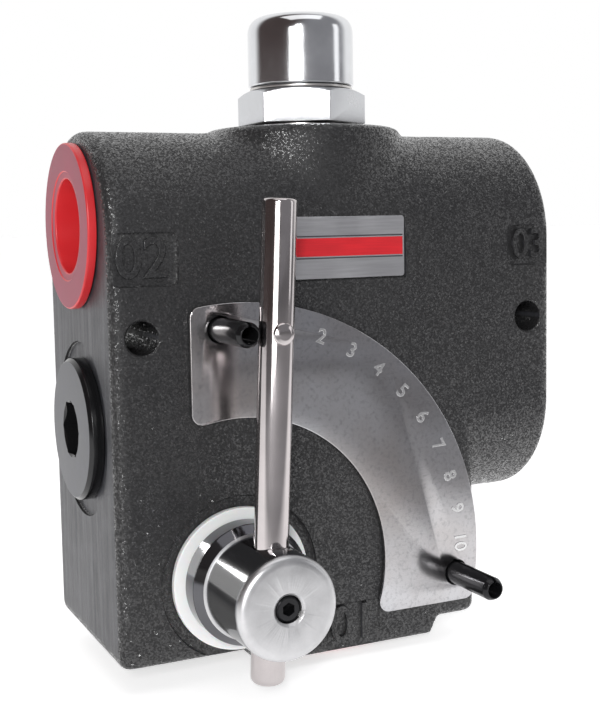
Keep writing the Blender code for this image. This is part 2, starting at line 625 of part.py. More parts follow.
# ---------------------------------------------------------------- dial, stops, name plate
def make_dial(zinc, black):
    centre = (HUB_X, HUB_Z)

    def crossing(radius, x=None, z=None):
        """Polar angle where the circle of this radius meets a vertical or a horizontal line."""
        if x is not None:
            return math.acos((x - HUB_X) / radius)
        return math.asin((z - HUB_Z) / radius)

    r = DIAL_CORNER
    out_r, in_r = DIAL_OUTER_R, DIAL_INNER_R
    left, low = DIAL_LEFT_X, DIAL_LOW_Z
    out_low = crossing(out_r - r, z=low + r)
    out_left = crossing(out_r - r, x=left + r)
    in_left = crossing(in_r + r, x=left + r)
    in_low = crossing(in_r + r, z=low + r)

    def corner(radius, angle):
        return HUB_X + radius * math.cos(angle), HUB_Z + radius * math.sin(angle)

    outline = arc(corner(out_r - r, out_low), r, -math.pi / 2, out_low, 4)
    outline += arc(centre, out_r, out_low, out_left, 20)[1:]
    outline += arc(corner(out_r - r, out_left), r, out_left, math.pi, 4)[1:]
    outline += arc(corner(in_r + r, in_left), r, math.pi, math.pi + in_left, 4)
    outline += arc(centre, in_r, in_left, in_low, 16)[1:]
    outline += arc(corner(in_r + r, in_low), r, math.pi + in_low, 1.5 * math.pi, 4)[1:]

    holes = []
    for angle in (STOP_CLOSED, STOP_OPEN):
        holes.append(arc(on_dial(STOP_CIRCLE, angle), STOP_R + GAP, 0, 2 * math.pi, 16)[:-1])
    plate_y = -GAP - DIAL_THICK / 2
    plate = flat_curve("dial_plate", [outline] + holes, DIAL_THICK, (0, plate_y, 0), (math.pi / 2, 0, 0))
    finish_part(plate, zinc)

    for name, angle in (("closed", STOP_CLOSED), ("open", STOP_OPEN)):
        x, z = on_dial(STOP_CIRCLE, angle)
        edge = 0.5 * MM
        wall = 1.0 * MM
        rear, front = STOP_DEPTH - GAP, STOP_FRONT
        profile = [(STOP_R - edge, rear), (STOP_R, rear - edge), (STOP_R, front + edge), (STOP_R - edge, front),
                   (STOP_R - wall, front), (STOP_R - wall, rear)]
        pin = turned("stop_pin_" + name, profile, (x, 0, z), "+Y", 20, closed=True)
        slit = 0.5 * MM
        cut = box("stop_slit_" + name, (x - slit, front - EPS, z), (x + slit, STOP_DEPTH + EPS, z + 5 * MM))
        boolean(pin, as_cutter(cut))
        finish_part(pin, black)


def make_nameplate(mat):
    x0, x1 = NAMEPLATE_X
    z0, z1 = NAMEPLATE_Z
    r = 0.8 * MM
    quarter = math.pi / 2
    outline = arc((x1 - r, z0 + r), r, -quarter, 0, 3) + arc((x1 - r, z1 - r), r, 0, quarter, 3)
    outline += arc((x0 + r, z1 - r), r, quarter, 2 * quarter, 3) + arc((x0 + r, z0 + r), r, 2 * quarter, 3 * quarter, 3)
    thick = 0.4 * MM
    middle = POCKET_DEPTH - GAP - thick / 2
    finish_part(flat_curve("nameplate", [outline], thick, (0, middle, 0), (math.pi / 2, 0, 0)), mat)


# ---------------------------------------------------------------- assembly
def main():
    iron = material("black_cast_iron", (0.035, 0.035, 0.037), 0.5, 0.3)
    zinc = material("zinc_plate", (0.62, 0.63, 0.65), 0.25, 1.0)
    steel = material("turned_steel", (0.55, 0.55, 0.56), 0.3, 1.0)
    chrome = material("polished_chrome", (0.7, 0.7, 0.72), 0.08, 1.0)
    dark = material("dark_steel", (0.12, 0.12, 0.12), 0.3, 1.0)
    black = material("black_oxide", (0.02, 0.02, 0.02), 0.25, 0.6)
    red = material("red_plastic", (0.75, 0.03, 0.04), 0.4, 0.0)
    nylon = material("white_nylon", (0.85, 0.85, 0.83), 0.5, 0.0)
    rubber = material("black_rubber", (0.02, 0.02, 0.02), 0.7, 0.0)
    brass = material("sealing_metal", (0.55, 0.5, 0.42), 0.35, 1.0)
    silver = material("printed_foil", (0.6, 0.6, 0.6), 0.35, 0.8)

    lever = bpy.data.objects.new("lever_axis", None)
    lever.location = (HUB_X, 0, HUB_Z)
    lever.rotation_euler = (0, ROD_LEAN, 0)
    lever.parent = DATUM
    PARTS.objects.link(lever)

    make_body(iron)
    make_port_plug("port_plug_left", (0, MID_Y, PORT_Z), "+X", red)
    make_port_plug("port_plug_right", (BODY_WIDTH, MID_Y, PORT_Z), "-X", red)
    make_port_plug("port_plug_inlet", (INLET_X, MID_Y, -INLET_BOSS_DROP), "+Z", red)
    make_compensator(steel, black, rubber)
    make_relief(zinc, steel, brass, rubber)
    make_rotary(steel, zinc, chrome, rubber, dark, lever)
    make_washers(nylon, steel)
    make_dial(zinc, black)
    make_nameplate(silver)


clear_scene()
PARTS = new_collection("flow_control_valve")
CUTTERS = new_collection("cutters")
DATUM = bpy.data.objects.new("datum", None)
DATUM.location = (-BODY_WIDTH / 2, -BODY_DEPTH, -BOLT_Z)
PARTS.objects.link(DATUM)
main()
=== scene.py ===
"""Looks of the rotary flow control valve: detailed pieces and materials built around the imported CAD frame.

Metres, in the frame's own axes: +Z up, the lever on the -Y side. Places given to at() are in millimetres from
the casting's front lower left corner; everything else comes from the frame's own boxes.
"""
import math

import bmesh
import bpy
import numpy as np
from mathutils import Euler, Matrix, Vector


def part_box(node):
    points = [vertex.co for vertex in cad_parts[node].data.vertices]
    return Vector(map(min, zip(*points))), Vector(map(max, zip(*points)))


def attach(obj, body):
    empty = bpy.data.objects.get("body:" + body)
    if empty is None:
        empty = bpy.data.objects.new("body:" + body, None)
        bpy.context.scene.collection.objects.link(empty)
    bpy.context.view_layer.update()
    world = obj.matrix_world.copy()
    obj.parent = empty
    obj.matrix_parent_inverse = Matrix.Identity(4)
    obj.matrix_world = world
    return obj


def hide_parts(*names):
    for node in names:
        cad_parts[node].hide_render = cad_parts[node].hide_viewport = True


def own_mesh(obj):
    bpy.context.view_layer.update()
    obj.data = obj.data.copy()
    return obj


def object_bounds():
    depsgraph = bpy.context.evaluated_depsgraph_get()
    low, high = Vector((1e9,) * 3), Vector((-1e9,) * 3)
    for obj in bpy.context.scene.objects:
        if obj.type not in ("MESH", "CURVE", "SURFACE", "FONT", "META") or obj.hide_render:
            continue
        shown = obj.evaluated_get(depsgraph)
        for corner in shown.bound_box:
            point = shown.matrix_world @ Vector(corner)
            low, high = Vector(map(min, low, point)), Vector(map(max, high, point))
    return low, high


MM = 0.001
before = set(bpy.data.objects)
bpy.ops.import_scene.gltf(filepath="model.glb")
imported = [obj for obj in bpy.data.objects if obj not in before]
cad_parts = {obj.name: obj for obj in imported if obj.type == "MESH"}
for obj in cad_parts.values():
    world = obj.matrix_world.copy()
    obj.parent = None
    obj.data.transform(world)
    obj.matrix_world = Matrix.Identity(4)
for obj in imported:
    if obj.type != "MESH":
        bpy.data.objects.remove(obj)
CAD_LOW, CAD_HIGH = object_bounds()

# ---------------------------------------------------------------- places, read from the frame
BODY_LOW, BODY_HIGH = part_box("valve_body")
INLET_DROP = 4.1 * MM                       # inlet boss below the lower block
BASE = BODY_LOW.z + INLET_DROP
DEPTH = BODY_HIGH.y - BODY_LOW.y
MID_Y = (BODY_LOW.y + BODY_HIGH.y) / 2


def at(x, y, z):
    """Point given in millimetres right, back and up from the casting's front lower left corner."""
    return Vector((BODY_LOW.x + x * MM, BODY_LOW.y + y * MM, BASE + z * MM))


def middle(node):
    low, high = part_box(node)
    return (low + high) / 2


HUB = middle("thrust_washer")               # on the rotary axis
PORT_Z = middle("port_plug_left").z
COMP_Z = middle("compensator_plug_left").z
RELIEF = middle("relief_cap")
STOPS = {"closed": middle("stop_pin_closed"), "open": middle("stop_pin_open")}
ROD_LEAN = math.radians(2.8)
HALF_DEPTH = DEPTH / 2
CROWN_Z = at(0, 0, 137.8).z - HALF_DEPTH    # axis of the half-round top
LOBE_LOW_Z = at(0, 0, 60.6).z
BLOCK_RIGHT = at(106.0, 0, 0).x
BOLT_X = (at(8.05, 0, 0).x, at(124.25, 0, 0).x)
BOLT_Z = at(0, 0, 84.8).z
BOLT_R = 4.35 * MM
PORT_R = 13.7 * MM
SPOT_R = 23.6 * MM                          # milled ring round each bore plug
SPOT_DEPTH = 1.0 * MM
PIN_HOLE_R = 3.5 * MM
HUB_SPOT_R = 22.0 * MM                      # milled ring round the hub
PLUG_HEAD = 3.8 * MM                        # thickness of a bore plug's head
FLOOR_GLOW = 0.62                           # the white sweep under and behind the valve
TURN = {
    "+X": (0.0, math.pi / 2, 0.0),
    "-X": (0.0, -math.pi / 2, 0.0),
    "+Y": (-math.pi / 2, 0.0, 0.0),
    "-Y": (math.pi / 2, 0.0, 0.0),
    "+Z": (0.0, 0.0, 0.0),
}


# ---------------------------------------------------------------- node-tree helper
class Nodes:
    """Short-hand for building the node tree of a new material, or of the world."""

    def __init__(self, name, world=None):
        self.mat = world or bpy.data.materials.new(name)
        self.mat.use_nodes = True
        self.tree = self.mat.node_tree
        self.shader = self.tree.nodes["Background" if world else "Principled BSDF"]
        coords = self.tree.nodes.new("ShaderNodeTexCoord")
        self.where = coords.outputs["Generated" if world else "Object"]

    def put(self, socket, value):
        if isinstance(value, bpy.types.NodeSocket):
            self.tree.links.new(value, socket)
        else:
            socket.default_value = value

    def scaled(self, factors, source=None):
        """Coordinates stretched by three factors; a small factor draws the pattern out along that axis."""
        node = self.tree.nodes.new("ShaderNodeMapping")
        self.tree.links.new(source or self.where, node.inputs["Vector"])
        node.inputs["Scale"].default_value = factors
        return node.outputs["Vector"]

    def noise(self, scale, detail=4.0, roughness=0.55, vector=None):
        node = self.tree.nodes.new("ShaderNodeTexNoise")
        for key, value in (("Scale", scale), ("Detail", detail), ("Roughness", roughness)):
            node.inputs[key].default_value = value
        self.tree.links.new(vector or self.where, node.inputs["Vector"])
        return node.outputs["Fac"]

    def cells(self, scale):
        """A random colour for each small cell."""
        node = self.tree.nodes.new("ShaderNodeTexVoronoi")
        node.inputs["Scale"].default_value = scale
        self.tree.links.new(self.where, node.inputs["Vector"])
        return node.outputs["Color"]

    def vector(self, operation, a, b=None):
        node = self.tree.nodes.new("ShaderNodeVectorMath")
        node.operation = operation
        self.put(node.inputs[0], a)
        if b is not None:
            self.put(node.inputs["Scale" if operation == "SCALE" else 1], b)
        return node.outputs["Value" if operation in ("LENGTH", "DOT_PRODUCT") else "Vector"]

    def normal(self):
        return self.tree.nodes.new("ShaderNodeNewGeometry").outputs["Normal"]

    def rings(self, centre, across, scale, detail):
        """Fine noise in rings round an axis through centre; across is 0 along the axis and 1 off it."""
        offset = self.scaled(across, self.vector("SUBTRACT", self.where, centre))
        node = self.tree.nodes.new("ShaderNodeTexNoise")
        node.noise_dimensions = "1D"
        node.inputs["Scale"].default_value = scale
        node.inputs["Detail"].default_value = detail
        self.tree.links.new(self.vector("LENGTH", offset), node.inputs["W"])
        return node.outputs["Fac"]

    def ramp(self, value, *stops):
        """Colour ramp; each stop is (position, grey level or colour)."""
        node = self.tree.nodes.new("ShaderNodeValToRGB")
        elements = node.color_ramp.elements
        while len(elements) < len(stops):
            elements.new(0.5)
        for element, (position, color) in zip(elements, stops):
            element.position = position
            element.color = (*color, 1.0) if isinstance(color, tuple) else (color, color, color, 1.0)
        self.tree.links.new(value, node.inputs["Fac"])
        return node.outputs["Color"]

    def span(self, value, low, high, to_low=0.0, to_high=1.0, shape="LINEAR"):
        node = self.tree.nodes.new("ShaderNodeMapRange")
        node.interpolation_type = shape
        self.put(node.inputs["Value"], value)
        for key, number in (("From Min", low), ("From Max", high), ("To Min", to_low), ("To Max", to_high)):
            node.inputs[key].default_value = number
        return node.outputs["Result"]

    def math(self, operation, a, b=0.0):
        node = self.tree.nodes.new("ShaderNodeMath")
        node.operation = operation
        self.put(node.inputs[0], a)
        self.put(node.inputs[1], b)
        return node.outputs["Value"]

    def mix(self, factor, a, b):
        node = self.tree.nodes.new("ShaderNodeMix")
        node.data_type = "RGBA"
        self.put(node.inputs["Factor"], factor)
        for socket, value in ((node.inputs[6], a), (node.inputs[7], b)):
            self.put(socket, (*value, 1.0) if isinstance(value, tuple) and len(value) == 3 else value)
        return node.outputs[2]

    def bump(self, height, strength, distance, previous=None):
        node = self.tree.nodes.new("ShaderNodeBump")
        node.inputs["Strength"].default_value = strength
        node.inputs["Distance"].default_value = distance
        self.tree.links.new(height, node.inputs["Height"])
        if previous is not None:
            self.tree.links.new(previous, node.inputs["Normal"])
        self.tree.links.new(node.outputs["Normal"], self.shader.inputs["Normal"])
        return node.outputs["Normal"]

    def separate(self, vector):
        node = self.tree.nodes.new("ShaderNodeSeparateXYZ")
        self.tree.links.new(vector, node.inputs["Vector"])
        return node.outputs

    def set(self, **values):
        for key, value in values.items():
            socket = self.shader.inputs[key.replace("_", " ")]
            self.put(socket, (*value, 1.0) if isinstance(value, tuple) and len(value) == 3 else value)
        return self.mat


# ---------------------------------------------------------------- materials
def cast_iron_material():
    """Black paint over sand-cast iron: fine grain, flakes that flash where they face the light, milled ends."""
    n = Nodes("black_cast_iron")
    grain = n.noise(1500, 5, 0.65)
    cloud = n.noise(38, 3, 0.5)
    facing = n.separate(n.normal())
    milled = n.span(n.math("ABSOLUTE", facing["X"]), 0.985, 0.998)
    streaks = n.noise(420, 3, 0.6, n.scaled((1.0, 1.0, 0.05)))
    patches = n.noise(170, 3, 0.6)
    cast = n.mix(n.span(cloud, 0.3, 0.7), (0.0130, 0.0130, 0.0140), (0.0200, 0.0197, 0.0200))
    cast = n.mix(n.span(grain, 0.42, 0.68, 0.0, 0.6), cast, (0.034, 0.034, 0.036))
    cut = n.mix(n.span(streaks, 0.3, 0.7), (0.026, 0.027, 0.031), (0.060, 0.061, 0.069))
    cut = n.mix(n.span(patches, 0.45, 0.7, 0.0, 0.6), cut, (0.078, 0.079, 0.088))
    base = n.mix(milled, cast, cut)
    # each flake leans its own way; one in twenty leans far, and catches the light from off to the side
    flake = n.cells(2700)
    pick = n.separate(flake)
    far = n.span(pick["Z"], 0.965, 0.97)
    reach = n.math("ADD", n.math("MULTIPLY", far, 0.75), 0.50)
    reach = n.math("MULTIPLY", reach, n.math("SUBTRACT", 1.0, milled))
    leaning = n.vector("SCALE", n.vector("SUBTRACT", flake, (0.5, 0.5, 0.5)), reach)
    bumped = n.bump(n.noise(240, 4, 0.6), 0.25, 0.22 * MM, n.bump(grain, 0.5, 0.2 * MM))
    n.set(Coat_Normal=n.vector("NORMALIZE", n.vector("ADD", bumped, leaning)))
    shows = n.math("MAXIMUM", n.span(pick["X"], 0.40, 0.55), far)
    coat = n.math("MULTIPLY", shows, n.math("SUBTRACT", 1.0, milled))
    rough = n.mix(milled, n.ramp(grain, (0.3, 0.60), (0.7, 0.46)), n.ramp(streaks, (0.3, 0.45), (0.7, 0.34)))
    return n.set(Base_Color=base, Roughness=rough, Specular_IOR_Level=0.3, Coat_Weight=coat,
                 Coat_Roughness=0.14, Coat_IOR=1.52)


def machined_black_material(name, around):
    """Black-oxide turned face: faint rings about an axis along X; faces turned along X are coloured grey, the
    rest near-black.
    """
    n = Nodes(name)
    rings = n.rings(around, (0.0, 1.0, 1.0), 2600.0, 2.0)
    cloud = n.noise(160, 4, 0.6)
    facing = n.math("ABSOLUTE", n.separate(n.normal())["X"])
    end = n.span(facing, 0.9, 0.99)
    # faces turned along X are coloured grey, everything else near-black
    face = n.mix(n.span(cloud, 0.35, 0.7), (0.075, 0.077, 0.085), (0.14, 0.142, 0.155))
    base = n.mix(end, (0.012, 0.012, 0.013), face)
    n.bump(rings, 0.12, 0.05 * MM)
    rough = n.mix(end, n.ramp(cloud, (0.3, 0.12), (0.7, 0.22)), n.ramp(cloud, (0.3, 0.36), (0.7, 0.5)))
    return n.set(Base_Color=base, Roughness=rough, Metallic=0.35, Specular_IOR_Level=0.6)


def plated_material(name, tone, rough, stretch, wear=0.06, metallic=1.0):
    """Bright zinc or chrome plate: cloudy tone, fine draw lines along the stretched axis, tiny scratches."""
    n = Nodes(name)
    cloud = n.noise(90, 4, 0.55)
    lines = n.noise(2600, 3, 0.6, n.scaled(stretch))
    dark = tuple(c * 0.86 for c in tone)
    base = n.mix(n.span(cloud, 0.3, 0.7), dark, tone)
    base = n.mix(n.span(lines, 0.55, 0.8, 0.0, wear * 3), base, tuple(c * 0.6 for c in tone))
    n.bump(lines, 0.10, 0.04 * MM, n.bump(n.noise(700, 3, 0.6), 0.05, 0.05 * MM))
    roughness = n.ramp(cloud, (0.25, max(rough - wear, 0.03)), (0.75, rough + wear))
    return n.set(Base_Color=base, Roughness=roughness, Metallic=metallic)


def turned_front_material():
    """Turned steel hub: satin rings about the hub axis on its face, polished along its side; as a painted dark
    reflection the side is coloured near-black, while the face, the thin step and the rim near the front keep
    the bright steel colour, a painted highlight on the rim and step.
    """
    n = Nodes("turned_steel_hub")
    rings = n.rings(HUB, (1.0, 0.0, 1.0), 2300.0, 3.0)
    cloud = n.noise(150, 5, 0.62)
    facing = n.math("ABSOLUTE", n.separate(n.normal())["Y"])
    front_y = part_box("handle_hub")[0].y
    near_front = n.span(n.separate(n.where)["Y"], front_y + 3 * MM, front_y + 4 * MM, 1.0, 0.0)
    # painted highlight: the rounded rim just behind the front face keeps the bright steel colour
    rim = n.math("MULTIPLY", n.span(facing, 0.1, 0.4), near_front)
    end = n.math("MAXIMUM", n.span(facing, 0.86, 0.95), rim)
    base = n.mix(n.span(cloud, 0.25, 0.75), (0.52, 0.52, 0.53), (0.72, 0.72, 0.73))
    # painted dark reflection: all but the faces along the axis and the front rim get a near-black colour
    base = n.mix(end, (0.085, 0.085, 0.095), base)
    # fine turning grooves on the side: their forward flanks give a second, tilted sheen along the axis
    tilted = n.vector("ADD", n.vector("SCALE", n.normal(), 0.55), (0.0, -0.92, 0.0))
    n.set(Coat_Normal=n.vector("NORMALIZE", tilted))
    n.bump(rings, 0.16, 0.05 * MM, n.bump(cloud, 0.10, 0.2 * MM))
    rough = n.mix(end, n.ramp(cloud, (0.3, 0.06), (0.7, 0.12)), n.ramp(cloud, (0.25, 0.30), (0.75, 0.46)))
    side = n.math("SUBTRACT", 1.0, end)
    return n.set(Base_Color=base, Roughness=rough, Metallic=1.0, Coat_Weight=side, Coat_Roughness=0.08,
                 Coat_IOR=1.55)


def dial_material():
    """Zinc-plated sheet: cloudy passivation with a faint warm tint, rolling lines, small scratches."""
    n = Nodes("zinc_dial_sheet")
    cloud = n.noise(26, 4, 0.55)
    fine = n.noise(900, 4, 0.65)
    lines = n.noise(1500, 3, 0.6, n.scaled((0.06, 1.0, 1.0)))
    scratch = n.noise(420, 2, 0.5, n.scaled((1.0, 1.0, 0.04)))
    base = n.mix(n.span(cloud, 0.35, 0.65), (0.56, 0.56, 0.58), (0.44, 0.41, 0.40))
    base = n.mix(n.span(fine, 0.5, 0.75, 0.0, 0.55), base, (0.25, 0.25, 0.26))
    base = n.mix(n.span(scratch, 0.70, 0.76, 0.0, 0.35), base, (0.8, 0.8, 0.8))
    n.bump(lines, 0.10, 0.05 * MM, n.bump(fine, 0.08, 0.06 * MM))
    return n.set(Base_Color=base, Roughness=n.ramp(cloud, (0.3, 0.13), (0.7, 0.22)), Metallic=1.0)


def plastic_material(name, tone, shade, rough, subsurface=0.0):
    """Moulded plastic: slight tone drift, orange-peel bump and scuffs in the gloss."""
    n = Nodes(name)
    cloud = n.noise(70, 3, 0.5)
    scuffs = n.noise(1200, 3, 0.6, n.scaled((1.0, 0.15, 1.0)))
    base = n.mix(n.span(cloud, 0.3, 0.7), shade, tone)
    n.bump(n.noise(520, 2, 0.5), 0.08, 0.12 * MM)
    roughness = n.ramp(scuffs, (0.35, rough), (0.75, rough + 0.16))
    n.set(Base_Color=base, Roughness=roughness, Specular_IOR_Level=0.5)
    if subsurface:
        n.set(Subsurface_Weight=subsurface, Subsurface_Scale=1.5 * MM)
    return n.mat


def red_plug_material():
    """Red shipping plug: bright saturated rim and cup; faces turned along X are coloured a paler, duller mauve
    and are rougher.
    """
    n = Nodes("red_polyethylene")
    end = n.span(n.math("ABSOLUTE", n.separate(n.normal())["X"]), 0.93, 0.995)
    cloud = n.noise(60, 3, 0.5)
    bright = n.mix(n.span(cloud, 0.3, 0.7), (0.60, 0.022, 0.028), (0.70, 0.032, 0.038))
    # faces turned along X get a paler, duller mauve colour
    pale_face = n.mix(n.span(cloud, 0.3, 0.7), (0.31, 0.075, 0.105), (0.36, 0.095, 0.13))
    base = n.mix(end, bright, pale_face)
    n.bump(n.noise(900, 3, 0.6), 0.10, 0.06 * MM)
    rough = n.mix(end, n.ramp(cloud, (0.3, 0.28), (0.7, 0.36)), n.ramp(cloud, (0.3, 0.50), (0.7, 0.60)))
    return n.set(Base_Color=base, Roughness=rough, Subsurface_Weight=0.08, Subsurface_Scale=1.5 * MM)


def foil_material(name, tone, rough, metallic):
    """Printed or bare foil with a brushed grain along X."""
    n = Nodes(name)
    brushed = n.noise(1800, 3, 0.6, n.scaled((0.05, 1.0, 1.0)))
    cloud = n.noise(110, 3, 0.5)
    base = n.mix(n.span(brushed, 0.3, 0.7), tuple(c * 0.82 for c in tone), tone)
    n.bump(brushed, 0.10, 0.03 * MM)
    roughness = n.ramp(cloud, (0.3, rough), (0.7, rough + 0.1))
    return n.set(Base_Color=base, Roughness=roughness, Metallic=metallic)


# ---------------------------------------------------------------- modelling helpers
def link(obj):
    bpy.context.scene.collection.objects.link(obj)
    return obj


def rounded(points, radii, closed=False, segments=5):
    """Profile with its corners rounded: radii maps a point's index to its fillet radius."""
    out = []
    count = len(points)
    for i, (x, y) in enumerate(points):
        radius = radii.get(i, 0.0)
        at_end = not closed and i in (0, count - 1)
        if radius <= 0 or at_end:
            out.append((x, y))
            continue
        corner = Vector((x, y))
        before = Vector(points[i - 1]) - corner
        after = Vector(points[(i + 1) % count]) - corner
        angle = before.angle(after)
        reach = min(radius / math.tan(angle / 2), 0.49 * before.length, 0.49 * after.length)
        start = corner + before.normalized() * reach
        end = corner + after.normalized() * reach
        for k in range(segments + 1):
            t = k / segments
            point = (1 - t) ** 2 * start + 2 * t * (1 - t) * corner + t ** 2 * end
            out.append((point.x, point.y))
    return out


def arc(centre, radius, start, end, count):
    cx, cy = centre
    angles = [start + (end - start) * i / count for i in range(count + 1)]
    return [(cx + radius * math.cos(a), cy + radius * math.sin(a)) for a in angles]


def rounded_box(x0, x1, z0, z1, r, grow=0.0):
    """Outline of a rectangle with corner radius r, grown outwards."""
    points = []
    corners = ((x1 - r, z0 + r), (x1 - r, z1 - r), (x0 + r, z1 - r), (x0 + r, z0 + r))
    for turn, corner in enumerate(corners, -1):
        points += arc(corner, r + grow, turn * math.pi / 2, (turn + 1) * math.pi / 2, 5)
    return points


def turned(name, profile, origin, axis, steps=96, closed=False):
    """Turned piece about an axis through origin; profile points are (radius, station), down the outer side."""
    mesh = bpy.data.meshes.new(name)
    edges = [(i, i + 1) for i in range(len(profile) - 1)]
    if closed:
        edges.append((len(profile) - 1, 0))
    mesh.from_pydata([(r, 0.0, s) for r, s in profile], edges, [])
    obj = link(bpy.data.objects.new(name, mesh))
    screw = obj.modifiers.new("Turn", "SCREW")
    screw.steps = screw.render_steps = steps
    screw.use_merge_vertices = True
    screw.merge_threshold = 0.000001
    obj = applied(obj)
    obj.data.transform(Matrix.Translation(origin) @ rotation(axis))
    return obj


def thread(radius, depth, pitch, start, stop):
    """Ring-grooved stretch of a profile, in place of a screw thread; depth is outwards."""
    points = []
    while start > stop:
        points += [(radius, start), (radius + depth, start - pitch / 2)]
        start -= pitch
    return points


def drill(name, radius, high, low, origin, axis, steps):
    """Plain round cutter between two stations."""
    return turned(name, [(0, high), (radius, high), (radius, low), (0, low)], origin, axis, steps)


def rotation(axis):
    return Euler(TURN[axis]).to_matrix().to_4x4()


def evaluated(obj):
    """Mesh that an object's modifiers or curve settings make."""
    bpy.context.view_layer.update()
    return bpy.data.meshes.new_from_object(obj.evaluated_get(bpy.context.evaluated_depsgraph_get()))


def applied(obj):
    """Same object with its modifiers applied to its mesh."""
    mesh = evaluated(obj)
    obj.modifiers.clear()
    obj.data = mesh
    return obj


def as_front(u, v, w):
    """Outline seen from the front, with its length along Y."""
    return u, w, v


def as_side(u, v, w):
    """Outline seen from the side, with its length along X."""
    return w, u, v


def extruded(name, outline, to_world, low, high):
    """Bar with a closed outline; to_world(u, v, w) turns outline and length coordinates into a point."""
    bm = bmesh.new()
    near = [bm.verts.new(to_world(u, v, low)) for u, v in outline]
    far = [bm.verts.new(to_world(u, v, high)) for u, v in outline]
    count = len(outline)
    bm.faces.new(near)
    bm.faces.new(list(reversed(far)))
    for i in range(count):
        j = (i + 1) % count
        bm.faces.new((near[i], far[i], far[j], near[j]))
    return from_bmesh(name, bm)


def from_bmesh(name, bm):
    bmesh.ops.recalc_face_normals(bm, faces=bm.faces)
    mesh = bpy.data.meshes.new(name)
    bm.to_mesh(mesh)
    bm.free()
    return link(bpy.data.objects.new(name, mesh))


def box(name, low, high):
    bm = bmesh.new()
    bmesh.ops.create_cube(bm, size=1.0)
    low, high = Vector(low), Vector(high)
    bmesh.ops.scale(bm, vec=high - low, verts=bm.verts)
    bmesh.ops.translate(bm, vec=(low + high) / 2, verts=bm.verts)
    return from_bmesh(name, bm)


def hex_bar(name, across_flats, low, high, origin, axis):
    bm = bmesh.new()
    radius = across_flats / math.sqrt(3)
    bmesh.ops.create_cone(bm, cap_ends=True, segments=6, radius1=radius, radius2=radius, depth=high - low)
    bmesh.ops.translate(bm, vec=(0, 0, (low + high) / 2), verts=bm.verts)
    bmesh.ops.transform(bm, matrix=Matrix.Translation(origin) @ rotation(axis), verts=bm.verts)
    return from_bmesh(name, bm)


def joined(name, objects):
    """One object from several, as loose shells in one mesh."""
    bm = bmesh.new()
    for obj in objects:
        bm.from_mesh(obj.data)
        bpy.data.objects.remove(obj)
    return from_bmesh(name, bm)


def boolean(target, tool, operation="DIFFERENCE", solver="EXACT"):
    mod = target.modifiers.new("Cut", "BOOLEAN")
    mod.operation = operation
    mod.solver = solver
    mod.object = tool
    applied(target)
    bpy.data.objects.remove(tool)
    return target


def beveled(obj, width, segments=2, angle=35):
    mod = obj.modifiers.new("Bevel", "BEVEL")
    mod.width = width
    mod.segments = segments
    mod.limit_method = "ANGLE"
    mod.angle_limit = math.radians(angle)
    return applied(obj)


def dress(obj, material, body, slot, *nodes, angle=40):
    """Give a finished piece its shading, material and body, and hide the CAD nodes it stands for; slot is not
    used.
    """
    obj.data.shade_smooth()
    obj.data.set_sharp_from_angle(angle=math.radians(angle))
    obj.data.materials.clear()
    obj.data.materials.append(material)
    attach(obj, body)
    if nodes:
        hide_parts(*nodes)
    return obj


# ---------------------------------------------------------------- casting
TURRET_R = 28.5 * MM
TURRET_TOP = BODY_HIGH.z
INLET_BOSS = (38.0, 93.0)
END_ROUND = 2.8 * MM


def casting_blank():
    """Overlapping solids of the casting, before they are fused."""
    y0, y1 = BODY_LOW.y, BODY_HIGH.y
    z0 = BASE
    crown = arc((MID_Y, CROWN_Z), HALF_DEPTH, 0, math.pi, 64)
    block = extruded("block", [(y0, z0), (y1, z0)] + crown, as_side, BODY_LOW.x, BLOCK_RIGHT)
    lobe_outline = crown + arc((MID_Y, LOBE_LOW_Z), HALF_DEPTH, math.pi, 2 * math.pi, 64)
    lobe = extruded("lobe", lobe_outline, as_side, BLOCK_RIGHT - 20 * MM, BODY_HIGH.x)
    for part in (block, lobe):
        beveled(part, END_ROUND, 5, 50)
    base_z = at(0, 0, 80).z
    top = TURRET_TOP - RELIEF.z
    profile = [(0, top), (TURRET_R, top), (TURRET_R, base_z - RELIEF.z), (0, base_z - RELIEF.z)]
    turret = turned("turret", rounded(profile, {1: 3.5 * MM}), RELIEF, "+Z", 96)
    left, right = (at(x, 0, 0).x for x in INLET_BOSS)
    low = BODY_LOW.z
    fillet = 3.6 * MM
    outline = [(left, z0 + 6 * MM), (left, low), (right - 2 * MM, low)]
    outline += arc((right + fillet, low + fillet), fillet, math.pi, math.pi / 2, 8)[1:]
    outline += [(right + fillet, z0 + 6 * MM)]
    boss = extruded("boss", outline, as_front, y0 + 0.05 * MM, y1 - 0.05 * MM)
    return joined("casting", [block, lobe, turret, boss])


def relax(obj, passes, weight):
    """Move every vertex towards its neighbours' mean, weight by weight, to round edges and fill corners."""
    mesh = obj.data
    count = len(mesh.vertices)
    co = np.empty(count * 3)
    mesh.vertices.foreach_get("co", co)
    co = co.reshape(-1, 3)
    ends = np.empty(len(mesh.edges) * 2, dtype=np.int64)
    mesh.edges.foreach_get("vertices", ends)
    a, b = ends.reshape(-1, 2).T
    degree = np.bincount(np.concatenate((a, b)), minlength=count)[:, None]
    w = weight(co)[:, None]
    for _ in range(passes):
        total = np.empty_like(co)
        for axis in range(3):
            total[:, axis] = np.bincount(a, co[b, axis], count) + np.bincount(b, co[a, axis], count)
        co += w * 0.5 * (total / degree - co)
    mesh.vertices.foreach_set("co", co.ravel())
    mesh.update()
    return obj


def smoothstep(values, low, high):
    t = np.clip((values - low) / (high - low), 0, 1)
    return t * t * (3 - 2 * t)


